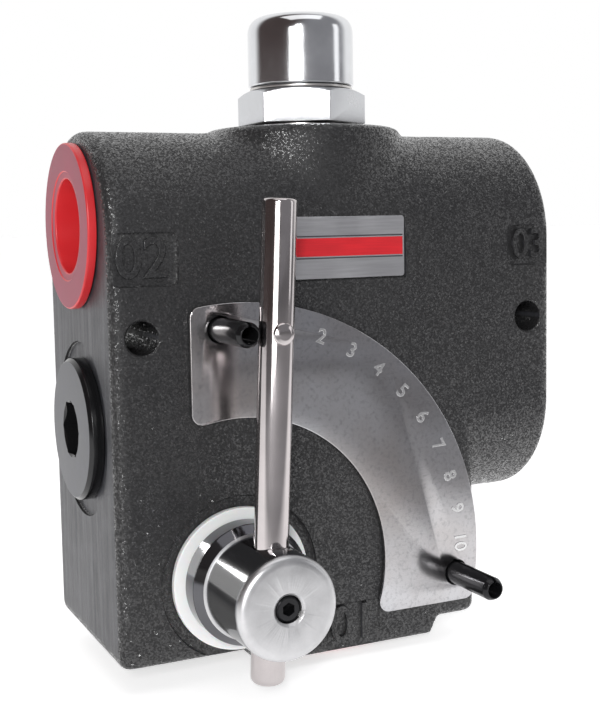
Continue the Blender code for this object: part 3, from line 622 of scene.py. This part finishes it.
def flare_weight(co):
    """Strong where the turret leaves the half-round crown, fading away from it and below its top rim."""
    radius = np.hypot(co[:, 0] - RELIEF.x, co[:, 1] - RELIEF.y)
    around = smoothstep(radius, TURRET_R - 9 * MM, TURRET_R - 1 * MM)
    around *= 1 - smoothstep(radius, TURRET_R + 9 * MM, TURRET_R + 16 * MM)
    height = smoothstep(co[:, 2], CROWN_Z - 6 * MM, CROWN_Z + 6 * MM)
    height *= 1 - smoothstep(co[:, 2], TURRET_TOP - 3.5 * MM, TURRET_TOP - 0.5 * MM)
    return around * height


def port_cutter(name, origin, axis):
    """Threaded port with a chamfered mouth, widening into the cored passage."""
    points = [(0, 22 * MM), (8 * MM, 22 * MM), (8 * MM, 20 * MM), (PORT_R, 20 * MM)]
    points += thread(PORT_R, 0.5 * MM, 1.5 * MM, 19 * MM, 2.2 * MM)
    points += [(PORT_R, 1.2 * MM), (PORT_R + 1.3 * MM, -0.05 * MM), (PORT_R + 1.3 * MM, -2 * MM), (0, -2 * MM)]
    return turned(name, points, origin, axis, 72)


def machining_cutters():
    """Tools for the ports, bore plug seats, spool bore, bolt holes, pin holes and cartridge bore."""
    left, right = BODY_LOW.x, BODY_HIGH.x
    yield port_cutter("port_left", (left, MID_Y, PORT_Z), "+X")
    yield port_cutter("port_right", (right, MID_Y, PORT_Z), "-X")
    yield port_cutter("port_inlet", (middle("port_plug_inlet").x, MID_Y, BODY_LOW.z), "+Z")
    for name, x, axis in (("left", left, "+X"), ("right", right, "-X")):
        points = [(0, 14 * MM), (13.3 * MM, 14 * MM), (13.3 * MM, 4.2 * MM), (16.5 * MM, 4.2 * MM),
                  (16.5 * MM, SPOT_DEPTH), (SPOT_R - 0.3 * MM, SPOT_DEPTH), (SPOT_R, SPOT_DEPTH - 0.3 * MM),
                  (SPOT_R, 0.05 * MM), (SPOT_R + 0.3 * MM, -0.3 * MM), (SPOT_R + 0.3 * MM, -2 * MM),
                  (0, -2 * MM)]
        yield turned("spot_" + name, points, (x, MID_Y, COMP_Z), axis, 96)
    face = BODY_LOW.y
    points = [(0, 49.9 * MM), (11 * MM, 49.9 * MM), (11 * MM, 3.6 * MM), (13.3 * MM, 3.6 * MM),
              (13.3 * MM, 1.2 * MM), (HUB_SPOT_R - 0.4 * MM, 1.2 * MM), (HUB_SPOT_R, 0.8 * MM), (HUB_SPOT_R, 0),
              (HUB_SPOT_R + 0.5 * MM, -0.5 * MM), (HUB_SPOT_R + 0.5 * MM, -3 * MM), (0, -3 * MM)]
    yield turned("hub_spot", points, (HUB.x, face, HUB.z), "+Y", 128)
    for name, x in zip(("left", "right"), BOLT_X):
        chamfer = 0.5 * MM
        points = [(0, DEPTH + MM), (BOLT_R + chamfer, DEPTH + MM), (BOLT_R + chamfer, DEPTH),
                  (BOLT_R, DEPTH - chamfer),
                  (BOLT_R, chamfer), (BOLT_R + chamfer, 0), (BOLT_R + chamfer, -MM), (0, -MM)]
        yield turned("bolt_" + name, points, (x, face, BOLT_Z), "+Y", 48)
    for name, spot_at in STOPS.items():
        yield drill("stop_" + name, PIN_HOLE_R, 8 * MM, -3 * MM, (spot_at.x, face, spot_at.z), "+Y", 32)
    yield drill("relief_bore", 11 * MM, 2 * MM, -20 * MM, (RELIEF.x, RELIEF.y, TURRET_TOP), "+Z", 64)


LABEL_POCKETS = {
    "left": ((-4.0, 17.8), (97.8, 111.0), "02"),
    "right": ((117.2, 137.0), (99.7, 111.0), "03"),
    "inlet": ((58.0, 74.0), (-8.0, 8.7), "01"),
}
POCKET_DEPTH = 0.8 * MM


def pocket_cutter(name, x_range, z_range, depth, draft):
    """Shallow pocket with drafted walls and rounded corners."""
    x0, x1 = (at(x, 0, 0).x for x in x_range)
    z0, z1 = (at(0, 0, z).z for z in z_range)
    face = BODY_LOW.y
    levels = ((face + depth, -draft), (face + depth * 0.75, -draft * 0.25), (face, draft * 0.5),
              (face - 3 * MM, draft * 2.2))
    bm = bmesh.new()
    rings = [[bm.verts.new((x, y, z)) for x, z in rounded_box(x0, x1, z0, z1, 1.6 * MM, grow)]
             for y, grow in levels]
    count = len(rings[0])
    bm.faces.new(rings[0])
    bm.faces.new(list(reversed(rings[-1])))
    for near, far in zip(rings, rings[1:]):
        for i in range(count):
            j = (i + 1) % count
            bm.faces.new((near[i], far[i], far[j], near[j]))
    return from_bmesh(name, bm)


def make_body(material):
    """Casting: fused and softened first, then its pockets and machined bores cut sharp."""
    blank = casting_blank()
    remesh = blank.modifiers.new("Fuse", "REMESH")
    remesh.mode = "VOXEL"
    remesh.voxel_size = 0.8 * MM
    applied(blank)
    relax(blank, 90, flare_weight)
    relax(blank, 5, lambda co: np.ones(len(co)))
    for name, (xs, zs, _) in LABEL_POCKETS.items():
        boolean(blank, pocket_cutter("label_" + name, xs, zs, POCKET_DEPTH, 0.5 * MM), solver="MANIFOLD")
    plate_low, plate_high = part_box("nameplate")
    margin, recess = 0.5, 0.8
    corner = at(0, 0, 0)
    xs = [(v - corner.x) / MM for v in (plate_low.x, plate_high.x)]
    zs = [(v - corner.z) / MM for v in (plate_low.z, plate_high.z)]
    pocket = box("nameplate_pocket", at(xs[0] - margin, -3, zs[0] - margin),
                 at(xs[1] + margin, recess, zs[1] + margin))
    boolean(blank, pocket, solver="MANIFOLD")
    for tool in machining_cutters():
        boolean(blank, tool, solver="MANIFOLD")
    blank.name = "casting"
    return dress(blank, material, "valve", "cast_body", "valve_body", angle=38)


def raised_text(name, text, size, depth, matrix, bevel=0.0):
    """Extruded text as a mesh, centred on the matrix's origin, standing out along its local Z."""
    curve = bpy.data.curves.new(name, "FONT")
    curve.body = text
    curve.size = size
    curve.align_x = "CENTER"
    curve.align_y = "CENTER"
    curve.extrude = depth / 2
    curve.bevel_depth = bevel
    curve.bevel_resolution = 1
    curve.resolution_u = 5
    obj = link(bpy.data.objects.new(name, curve))
    mesh = evaluated(obj)
    bpy.data.objects.remove(obj)
    mesh.transform(matrix)
    return link(bpy.data.objects.new(name, mesh))


UPRIGHT = Matrix.Rotation(math.pi / 2, 4, "X")     # text plane facing -Y


def make_port_numbers(material):
    """Raised cast port numbers in the pockets beside each port."""
    places = {"left": (8.6, 104.3, 10.5), "right": (124.6, 105.3, 8.6), "inlet": (66.0, 2.6, 10.5)}
    for name, (x, z, size) in places.items():
        text = LABEL_POCKETS[name][2]
        where = at(x, 0.52, z)
        obj = raised_text("port_number_" + name, text, size * MM * 1.35, 0.7 * MM,
                          Matrix.Translation(where) @ UPRIGHT, 0.18 * MM)
        dress(obj, material, "valve", "cast_body")


# ---------------------------------------------------------------- dial
DIAL = {"outer": 72.4 * MM, "inner": 42.4 * MM, "corner": 3.0 * MM}


def on_dial(radius, clockwise):
    return HUB.x + radius * math.sin(clockwise), HUB.z + radius * math.cos(clockwise)


def dial_outline():
    low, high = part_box("dial_plate")
    left, base = low.x, low.z
    r, out_r, in_r = DIAL["corner"], DIAL["outer"], DIAL["inner"]
    centre = (HUB.x, HUB.z)
    out_low = math.asin((base + r - HUB.z) / (out_r - r))
    out_left = math.acos((left + r - HUB.x) / (out_r - r))
    in_left = math.acos((left + r - HUB.x) / (in_r + r))
    in_low = math.asin((base + r - HUB.z) / (in_r + r))

    def corner(radius, angle):
        return HUB.x + radius * math.cos(angle), HUB.z + radius * math.sin(angle)

    points = arc(corner(out_r - r, out_low), r, -math.pi / 2, out_low, 10)
    points += arc(centre, out_r, out_low, out_left, 80)[1:]
    points += arc(corner(out_r - r, out_left), r, out_left, math.pi, 10)[1:]
    points += arc(corner(in_r + r, in_left), r, math.pi, math.pi + in_left, 10)
    points += arc(centre, in_r, in_left, in_low, 60)[1:]
    points += arc(corner(in_r + r, in_low), r, math.pi + in_low, 1.5 * math.pi, 10)[1:]
    return points


def make_dial(material, ink):
    """Stamped plate with numbers 1 to 10 pressed into it."""
    low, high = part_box("dial_plate")

    plate = extruded("dial_sheet", dial_outline(), as_front, low.y, high.y)
    for name, spot in STOPS.items():
        place = (spot.x, low.y, spot.z)
        boolean(plate, drill("dial_hole_" + name, PIN_HOLE_R, 6 * MM, -6 * MM, place, "+Y", 40))
    beveled(plate, 0.28 * MM, 3, 50)
    dress(plate, material, "valve", "plated_plate", "dial_plate")
    first, step = 12.5, 8.48                # degrees clockwise from straight up
    for number in range(1, 11):
        clockwise = math.radians(first + step * (number - 1))
        x, z = on_dial(66.6 * MM, clockwise)
        matrix = Matrix.Translation((x, low.y + 0.02 * MM, z)) @ UPRIGHT @ Matrix.Rotation(-clockwise, 4, "Z")
        digit = raised_text("dial_number_%02d" % number, str(number), 5.6 * MM, 0.10 * MM, matrix, 0.10 * MM)
        dress(digit, ink, "valve", "plated_plate")


def make_stop_pins(material):
    """Slotted spring pins with chamfered ends."""
    for name, spot in STOPS.items():
        low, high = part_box("stop_pin_" + name)
        outer, inner = 3.2 * MM, 2.15 * MM
        length = high.y - low.y
        profile = [(outer - 0.7 * MM, length), (outer, length - 1.3 * MM), (outer, 1.3 * MM),
                   (outer - 0.7 * MM, 0), (inner, 0), (inner, length)]
        radii = {0: 0.2 * MM, 1: 0.8 * MM, 2: 0.8 * MM, 3: 0.25 * MM, 4: 0.15 * MM}
        profile = rounded(profile, radii, closed=True)
        pin = turned("spring_pin_" + name, profile, (spot.x, low.y, spot.z), "+Y", 64, closed=True)
        slit = 0.45 * MM
        cut = box("slit", (spot.x - slit, low.y - MM, spot.z), (spot.x + slit, high.y + MM, spot.z + 5 * MM))
        boolean(pin, cut)
        dress(pin, material, "valve", "black_oxide_pin", "stop_pin_" + name)


def make_nameplate(silver, red, dark):
    """Foil plate with a red middle band; its fields are left blank."""
    low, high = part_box("nameplate")

    def plate(name, x0, x1, z0, z1, y0, y1, r, material, nodes=()):
        obj = extruded(name, rounded_box(x0, x1, z0, z1, r), as_front, y0, y1)
        beveled(obj, 0.06 * MM, 1, 50)
        return dress(obj, material, "valve", "nameplate_foil", *nodes)

    plate("nameplate_foil", low.x, high.x, low.z, high.z, low.y, high.y, 0.8 * MM, silver, ("nameplate",))
    height = high.z - low.z
    band = (low.z + 0.36 * height, low.z + 0.655 * height)
    lift = 0.05 * MM
    plate("nameplate_band", low.x + 0.5 * MM, high.x - 0.5 * MM, band[0], band[1], low.y - lift, low.y + lift,
          0.1 * MM, red)
    rule = 0.35 * MM
    for name, z in (("upper", band[1] + 0.3 * MM), ("lower", band[0] - 0.3 * MM - rule)):
        plate("nameplate_rule_" + name, low.x + 0.5 * MM, high.x - 0.5 * MM, z, z + rule, low.y - lift,
              low.y + lift, 0.05 * MM, dark)


# ---------------------------------------------------------------- plugs
def make_port_plugs(material):
    """Flanged shipping plugs with a hollow cup and a moulding mark at its floor."""
    for name, axis in (("left", "+X"), ("right", "-X"), ("inlet", "+Z")):
        node = "port_plug_" + name
        low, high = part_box(node)
        centre = (low + high) / 2
        along = {"+X": 0, "-X": 0, "+Z": 2}[axis]
        face = high[along] if axis == "-X" else low[along]
        origin = centre.copy()
        origin[along] = face
        length = high[along] - low[along]
        flange_r = (high.y - low.y) / 2
        thick, wall = 2.4 * MM, 1.0 * MM
        outer = PORT_R - 0.3 * MM
        inner = outer - wall
        floor = length - wall
        profile = [(0, length), (outer - 0.8 * MM, length), (outer, length - 1.6 * MM),
                   (outer, thick + 0.8 * MM), (outer - 0.3 * MM, thick), (flange_r, thick), (flange_r, 0),
                   (inner + 2.2 * MM, 0), (inner + 1.9 * MM, 0.25 * MM), (inner, 0.5 * MM),
                   (inner - 0.25 * MM, floor), (2.2 * MM, floor), (1.4 * MM, floor - 0.5 * MM),
                   (0, floor - 0.5 * MM)]
        radii = {1: 0.8 * MM, 5: 0.35 * MM, 6: 0.55 * MM, 9: 0.5 * MM, 10: 1.0 * MM}
        plug = turned("shipping_plug_" + name, rounded(profile, radii), origin, axis, 96)
        dress(plug, material, "plug_" + name, "red_plastic", node, angle=30)


def make_compensator_plugs(material):
    """Hex-socket plugs at both ends of the compensator bore."""
    for name, axis, sign in (("left", "+X", 1), ("right", "-X", -1)):
        node = "compensator_plug_" + name
        low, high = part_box(node)
        face = low.x if sign > 0 else high.x
        centre = Vector((face, (low.y + high.y) / 2, (low.z + high.z) / 2))
        radius = (high.z - low.z) / 2
        length = high.x - low.x
        profile = [(0, length), (12.0 * MM, length), (13.0 * MM, length - MM), (13.0 * MM, PLUG_HEAD + 2 * MM),
                   (12.2 * MM, PLUG_HEAD), (radius, PLUG_HEAD), (radius, 0.9 * MM), (radius - 0.9 * MM, 0),
                   (0, 0)]
        radii = {5: 0.2 * MM, 6: 0.35 * MM, 7: 0.35 * MM}
        plug = turned("bore_plug_" + name, rounded(profile, radii), centre, axis, 128)
        socket_af = 14.0 * MM
        lead = turned("lead", [(0, 0.6 * MM), (socket_af / 2, 0.6 * MM), (socket_af / 2 + 1.4 * MM, -0.6 * MM),
                               (socket_af / 2 + 1.4 * MM, -2 * MM), (0, -2 * MM)], centre, axis, 96)
        socket = hex_bar("socket", socket_af, -2 * MM, 8.0 * MM, centre, axis)
        boolean(plug, socket)
        boolean(plug, lead)
        dress(plug, material, "valve", "black_plug", node, angle=25)


# ---------------------------------------------------------------- relief cartridge
def make_relief(cap_metal, hex_metal, copper):
    """Dome cap, hex cartridge and the two washers."""
    low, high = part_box("relief_cap")
    radius = (high.x - low.x) / 2
    top, base = high.z, low.z
    axis = (RELIEF.x, RELIEF.y, 0)
    cavity = 11.5 * MM
    profile = [(0, top), (radius, top - 0.25 * MM), (radius, base), (cavity, base), (cavity, top - 5.5 * MM),
               (0, top - 3.5 * MM)]
    cap = turned("dome_cap", rounded(profile, {1: 5.2 * MM, 2: 0.5 * MM, 3: 0.3 * MM, 4: 2 * MM}, segments=14),
                 axis, "+Z", 128)
    dress(cap, cap_metal, "cap", "plated_cap", "relief_cap")

    low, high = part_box("relief_cartridge")
    hex_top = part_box("cap_gasket")[0].z - 0.3 * MM
    hex_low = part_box("relief_washer")[1].z + 0.3 * MM
    neck = high.z
    stem = low.z
    corner_r = (high.x - low.x) / 2 + 1 * MM
    stem_r = 10.7 * MM
    profile = [(11.2 * MM, neck), (11.2 * MM, hex_top), (15.4 * MM, hex_top), (corner_r, hex_top - 1.9 * MM),
               (corner_r, hex_low), (stem_r, hex_low)]
    groove_top = at(0, 0, 131).z
    profile += thread(stem_r, -0.75 * MM, 1.5 * MM, hex_low - 1.5 * MM, groove_top + 1.5 * MM)
    profile += [(stem_r, groove_top), (stem_r - 1.6 * MM, groove_top), (stem_r - 1.6 * MM, groove_top - 3 * MM),
                (stem_r, groove_top - 3 * MM), (stem_r, stem), (6.5 * MM, stem), (6.5 * MM, at(0, 0, 143).z),
                (4.3 * MM, at(0, 0, 143).z), (4.3 * MM, neck)]
    cartridge = turned("hex_cartridge", profile, axis, "+Z", 120, closed=True)
    flats = hex_bar("flats", 31.6 * MM, stem - 5 * MM, neck + 5 * MM, axis, "+Z")
    boolean(cartridge, flats, "INTERSECT")
    beveled(cartridge, 0.12 * MM, 2, 28)
    dress(cartridge, hex_metal, "valve", "plated_hex", "relief_cartridge", angle=24)

    for node, name in (("relief_washer", "bonded_washer"), ("cap_gasket", "cap_washer")):
        low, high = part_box(node)
        outer = (high.x - low.x) / 2
        inner = 11.5 * MM
        profile = [(outer, high.z), (outer, low.z), (inner, low.z), (inner, high.z)]
        profile = rounded(profile, {i: 0.2 * MM for i in range(4)}, True, 3)
        washer = turned(name, profile, axis, "+Z", 96, closed=True)
        dress(washer, copper, "valve", "copper_washer", node)


# ---------------------------------------------------------------- hub and lever
def make_lever(hub_metal, rod_metal, dark, nylon):
    """Hub, rod, dome rivet, set screw and the washer behind the hub."""
    low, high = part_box("handle_hub")
    front = low.y
    axis_point = Vector((HUB.x, front, HUB.z))
    base_station = high.y - front
    radius = 13.25 * MM
    base_r = (high.z - low.z) / 2
    hole = 7.3 * MM
    flange = BODY_LOW.y - 7.0 * MM - front
    step = 0.8 * MM
    profile = [(0, 4.3 * MM), (hole, 4.3 * MM), (hole, base_station), (base_r, base_station), (base_r, flange),
               (radius + step, flange - 2.2 * MM), (radius, flange - 2.4 * MM), (radius, 0.0), (0, 0.0)]
    radii = {3: 0.3 * MM, 4: 0.6 * MM, 7: 2.6 * MM}
    hub = turned("hub_turning", rounded(profile, radii, segments=8), axis_point, "+Y", 128)
    rod_low, rod_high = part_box("lever_rod")
    rod_y = (rod_low.y + rod_high.y) / 2
    rod_r = (rod_high.y - rod_low.y) / 2
    lean = Matrix.Rotation(ROD_LEAN, 4, "Y")
    hub_axis = Matrix.Translation((HUB.x, rod_y, HUB.z)) @ lean

    def along_rod(obj):
        obj.data.transform(hub_axis)
        return obj

    boolean(hub, along_rod(drill("rod_hole", rod_r + 0.25 * MM, 30 * MM, -30 * MM, (0, 0, 0), "+Z", 64)))
    screw_r = 3.5 * MM
    tap = turned("tap", [(0, 12 * MM), (screw_r, 12 * MM), (screw_r, 0.7 * MM), (screw_r + 0.7 * MM, 0.0),
                         (screw_r + 0.7 * MM, -2 * MM), (0, -2 * MM)], axis_point, "+Y", 64)
    boolean(hub, tap)
    beveled(hub, 0.15 * MM, 2, 40)
    dress(hub, hub_metal, "metering_lever", "turned_hub", "handle_hub", angle=28)

    up, down = 98.5 * MM, 21.8 * MM
    profile = [(0, up), (rod_r, up), (rod_r, -down), (0, -down)]
    rod = turned("round_rod", rounded(profile, {1: 1.1 * MM, 2: 2.3 * MM}, segments=8), (0, 0, 0), "+Z", 96)
    pin_z = middle("lever_rivet").z
    rivet_at = (pin_z - HUB.z) / math.cos(ROD_LEAN)
    boolean(rod, drill("pin_hole", 2.2 * MM, 8 * MM, -8 * MM, (0, 0, rivet_at), "+Y", 40))
    along_rod(rod)
    dress(rod, rod_metal, "metering_lever", "plated_rod", "lever_rod")

    profile = [(0, rod_r + 1.05 * MM), (1.5 * MM, rod_r + 0.95 * MM), (2.6 * MM, rod_r + 0.45 * MM),
               (2.85 * MM, rod_r - 0.05 * MM), (2.6 * MM, rod_r - 0.35 * MM), (1.95 * MM, rod_r - 0.9 * MM),
               (1.95 * MM, -rod_r - 1.2 * MM), (0, -rod_r - 1.4 * MM)]
    radii = {1: 1.2 * MM, 2: 0.7 * MM, 3: 0.2 * MM, 6: 0.4 * MM}
    rivet = turned("dome_rivet", rounded(profile, radii, segments=5), (0, 0, rivet_at), "-Y", 64)
    along_rod(rivet)
    dress(rivet, rod_metal, "metering_lever", "plated_rod", "lever_rivet")

    low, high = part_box("hub_set_screw")
    origin = Vector((HUB.x, low.y, HUB.z))
    length = high.y - low.y
    radius = (high.x - low.x) / 2 - 0.05 * MM
    profile = [(0, length), (1.6 * MM, length), (radius, length - 1.6 * MM)]
    profile += thread(radius, -0.4 * MM, 0.8 * MM, length - 2.0 * MM, 1.2 * MM)
    profile += [(radius, 0.6 * MM), (radius - 0.6 * MM, 0), (0, 0)]
    screw = turned("set_screw", profile, origin, "+Y", 48)
    boolean(screw, hex_bar("key_socket", 3.0 * MM, -1 * MM, 3.2 * MM, origin, "+Y"))
    dress(screw, dark, "metering_lever", "dark_screw", "hub_set_screw", angle=30)

    low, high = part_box("thrust_washer")
    outer = (high.x - low.x) / 2
    origin = (HUB.x, low.y, HUB.z)
    thick = high.y - low.y
    profile = [(outer, thick), (outer, 0), (7.3 * MM, 0), (7.3 * MM, thick)]
    profile = rounded(profile, {0: 0.3 * MM, 1: 0.4 * MM}, True, 4)
    washer = turned("nylon_washer", profile, origin, "+Y", 128, closed=True)
    dress(washer, nylon, "valve", "white_nylon", "thrust_washer")


# ---------------------------------------------------------------- springs inside
def make_springs(material):
    """Coil springs; the relief spring is made as two stretches of coil, lower and upper; the joint and travel
    given to each coil are not used.
    """
    def coil(name, node, along, radius, wire, turns, place, stretch, joint, travel, anchor_at):
        low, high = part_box(node)
        start, length = low[along], high[along] - low[along]
        per_turn = 24
        first, last = (round(t * turns * per_turn) for t in stretch)
        curve = bpy.data.curves.new(name, "CURVE")
        curve.dimensions = "3D"
        curve.bevel_depth = wire
        curve.bevel_resolution = 3
        curve.use_fill_caps = True
        spline = curve.splines.new("POLY")
        spline.points.add(last - first)
        for i, point in zip(range(first, last + 1), spline.points):
            angle = 2 * math.pi * i / per_turn
            t = i / (turns * per_turn)
            eased = t - math.sin(2 * math.pi * t) / (2 * math.pi) * 0.35
            height = wire + (length - 2 * wire) * eased
            point.co = (radius * math.cos(angle), radius * math.sin(angle), height, 1.0)
        obj = link(bpy.data.objects.new(name, curve))
        mesh = evaluated(obj)
        bpy.data.objects.remove(obj)
        origin = Vector(place)
        origin[along] = start
        mesh.transform(Matrix.Translation(origin) @ rotation("+X" if along == 0 else "+Z"))
        bm = bmesh.new()
        bm.from_mesh(mesh)
        bmesh.ops.remove_doubles(bm, verts=bm.verts, dist=0.000001)
        spring = from_bmesh(name, bm)
        dress(spring, material, "valve", "spring_steel", node, angle=50)
        direction = Vector((0, 0, 0))
        direction[along] = 1.0
        anchor = Vector(place)
        anchor[along] = start + length * anchor_at
        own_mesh(spring)

    bore = (0.0, MID_Y, COMP_Z)
    seat = (RELIEF.x, RELIEF.y, 0.0)
    coil("comp_coil", "compensator_spring", 0, 7.4 * MM, 1.0 * MM, 6.5, bore, (0.0, 1.0), "compensator_slide",
         8.0 * MM, 1.0)
    relief = ("relief_spring", 2, 4.6 * MM, 0.75 * MM, 8, seat)
    coil("relief_coil_lower", *relief, (0.0, 0.5), "relief_lift", 2.5 * MM, 0.5)
    coil("relief_coil_upper", *relief, (0.5, 1.0), "adjust_travel", 1.875 * MM, 0.5)


def dress_inner_nodes(material, *nodes):
    """CAD nodes whose shape is already right only get their material."""
    for node in nodes:
        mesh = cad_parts[node].data
        mesh.materials.clear()
        mesh.materials.append(material)


# ---------------------------------------------------------------- stage, light, camera
def make_stage():
    """Pale floor, lit like a white sweep near the valve and behind it, and darker far out in front."""
    n = Nodes("pale_floor")
    tone = n.noise(3.0, 3, 0.5)
    behind = n.span(n.separate(n.where)["Y"], -0.24, -0.14)
    pale = n.mix(n.span(tone, 0.3, 0.7), (0.84, 0.84, 0.84), (0.88, 0.88, 0.88))
    n.set(Base_Color=n.mix(behind, (0.40, 0.40, 0.41), pale), Roughness=0.9,
          Emission_Color=(1.0, 1.0, 1.0), Emission_Strength=n.math("MULTIPLY", behind, FLOOR_GLOW))
    size = 12.0
    bm = bmesh.new()
    bmesh.ops.create_grid(bm, x_segments=4, y_segments=4, size=size)
    bmesh.ops.translate(bm, vec=(0, 0, CAD_LOW.z - 0.2 * MM), verts=bm.verts)
    floor = from_bmesh("floor", bm)
    floor.data.materials.append(n.mat)


def polar(azimuth, elevation, distance):
    """Point round the object; azimuth 0 is in front (-Y) and positive to the right."""
    a, e = math.radians(azimuth), math.radians(elevation)
    return Vector((math.sin(a) * math.cos(e), -math.cos(a) * math.cos(e), math.sin(e))) * distance


def make_lights():
    """White sweep behind, a dim room in front that is lighter on its right, and softboxes near the camera."""
    world = bpy.data.worlds.new("studio")
    bpy.context.scene.world = world
    n = Nodes("studio", world)

    def toward(direction, low, high, a, b):
        """Colours a and b, mixed over how far the view points that way."""
        share = n.vector("DOT_PRODUCT", n.where, direction)
        return n.mix(n.span(share, low, high, shape="SMOOTHSTEP"), a, b)

    room = toward((0.904, -0.427, 0.0), -0.25, 0.40, (0.075, 0.058, 0.056), (0.27, 0.27, 0.285))
    n.set(Color=toward((0.427, 0.904, 0.0), 0.12, 0.50, room, (1.0, 1.0, 1.0)), Strength=1.0)
    centre = (CAD_LOW + CAD_HIGH) / 2
    for name, size, energy, azimuth, elevation, distance in (
            ("key", (0.50, 0.60), 4.0, -36, 4, 1.1),
            ("flash", (0.09, 0.20), 4.0, -28, 20, 1.05),
            ("top", (1.2, 0.8), 3.5, -10, 75, 1.2),
            ("right_fill", (0.3, 0.9), 0.9, 60, 8, 1.3)):
        data = bpy.data.lights.new(name, "AREA")
        data.shape = "RECTANGLE"
        data.size, data.size_y = size
        data.energy = energy
        light = link(bpy.data.objects.new(name, data))
        light.location = centre + polar(azimuth, elevation, distance)
        light.rotation_euler = (centre - light.location).to_track_quat("-Z", "Y").to_euler()


def make_camera():
    """Camera in front and to the left, a little above, with a slight roll."""
    yaw, pitch, roll = (math.radians(a) for a in (25.27, 5.41, -1.017))
    forward = Vector((math.sin(yaw) * math.cos(pitch), math.cos(yaw) * math.cos(pitch), -math.sin(pitch)))
    right = Vector((math.cos(yaw), -math.sin(yaw), 0.0))
    up = right.cross(forward)
    rolled_right = math.cos(roll) * right + math.sin(roll) * up
    rolled_up = math.cos(roll) * up - math.sin(roll) * right
    data = bpy.data.cameras.new("camera")
    data.sensor_width = 36.0
    data.lens = 60.63
    data.shift_y = -0.0348
    data.clip_start = 0.01
    data.clip_end = 50.0
    camera = link(bpy.data.objects.new("camera", data))
    matrix = Matrix((rolled_right, rolled_up, -forward)).transposed().to_4x4()
    matrix.translation = at(-84.77, -288.09, 113.40)
    camera.matrix_world = matrix
    bpy.context.scene.camera = camera
    bpy.context.scene.view_settings.view_transform = "Standard"


# ---------------------------------------------------------------- assembly
def main():
    iron = cast_iron_material()
    zinc_cap = plated_material("bright_zinc_cap", (0.78, 0.79, 0.81), 0.16, (1.0, 1.0, 0.08), 0.05)
    zinc_hex = plated_material("bright_zinc_hex", (0.70, 0.71, 0.73), 0.30, (1.0, 1.0, 0.3), 0.06)
    chrome = plated_material("plated_rod_metal", (0.58, 0.54, 0.54), 0.10, (1.0, 1.0, 0.04), 0.04)
    steel = plated_material("ground_steel", (0.58, 0.58, 0.59), 0.25, (0.2, 1.0, 1.0))
    spring = plated_material("spring_wire", (0.35, 0.35, 0.36), 0.3, (1.0, 1.0, 1.0))
    copper = plated_material("sealing_washer", (0.70, 0.68, 0.66), 0.3, (1.0, 1.0, 1.0))
    hub = turned_front_material()
    dial = dial_material()
    numbers = plated_material("stamped_numbers", (0.86, 0.86, 0.86), 0.22, (1.0, 1.0, 1.0))
    oxide = plated_material("black_oxide", (0.022, 0.022, 0.024), 0.14, (1.0, 0.1, 1.0), 0.05, 0.6)
    plug = machined_black_material("black_bore_plug", (0.0, MID_Y, COMP_Z))
    red = red_plug_material()
    nylon = plastic_material("white_nylon", (0.86, 0.87, 0.86), (0.80, 0.81, 0.81), 0.42, 0.15)
    rubber = plastic_material("nitrile", (0.02, 0.02, 0.02), (0.03, 0.03, 0.03), 0.6)
    silver = foil_material("silver_foil", (0.66, 0.66, 0.68), 0.30, 0.9)
    band = foil_material("red_print", (0.72, 0.02, 0.03), 0.35, 0.1)
    ink = foil_material("dark_print", (0.05, 0.05, 0.06), 0.4, 0.1)

    make_camera()
    make_stage()
    make_lights()
    make_body(iron)
    make_port_numbers(iron)
    make_dial(dial, numbers)
    make_stop_pins(oxide)
    make_nameplate(silver, band, ink)
    make_port_plugs(red)
    make_compensator_plugs(plug)
    make_relief(zinc_cap, zinc_hex, copper)
    make_lever(hub, chrome, oxide, nylon)
    make_springs(spring)
    dress_inner_nodes(steel, "compensator_spool", "relief_seat", "relief_poppet", "spring_guide",
                      "adjusting_screw", "rotary_spool")
    dress_inner_nodes(zinc_hex, "lock_nut")
    dress_inner_nodes(spring, "spool_retaining_ring")
    dress_inner_nodes(rubber, "compensator_seal_left", "compensator_seal_right", "relief_seal",
                      "spool_seal_front", "spool_seal_rear")


main()
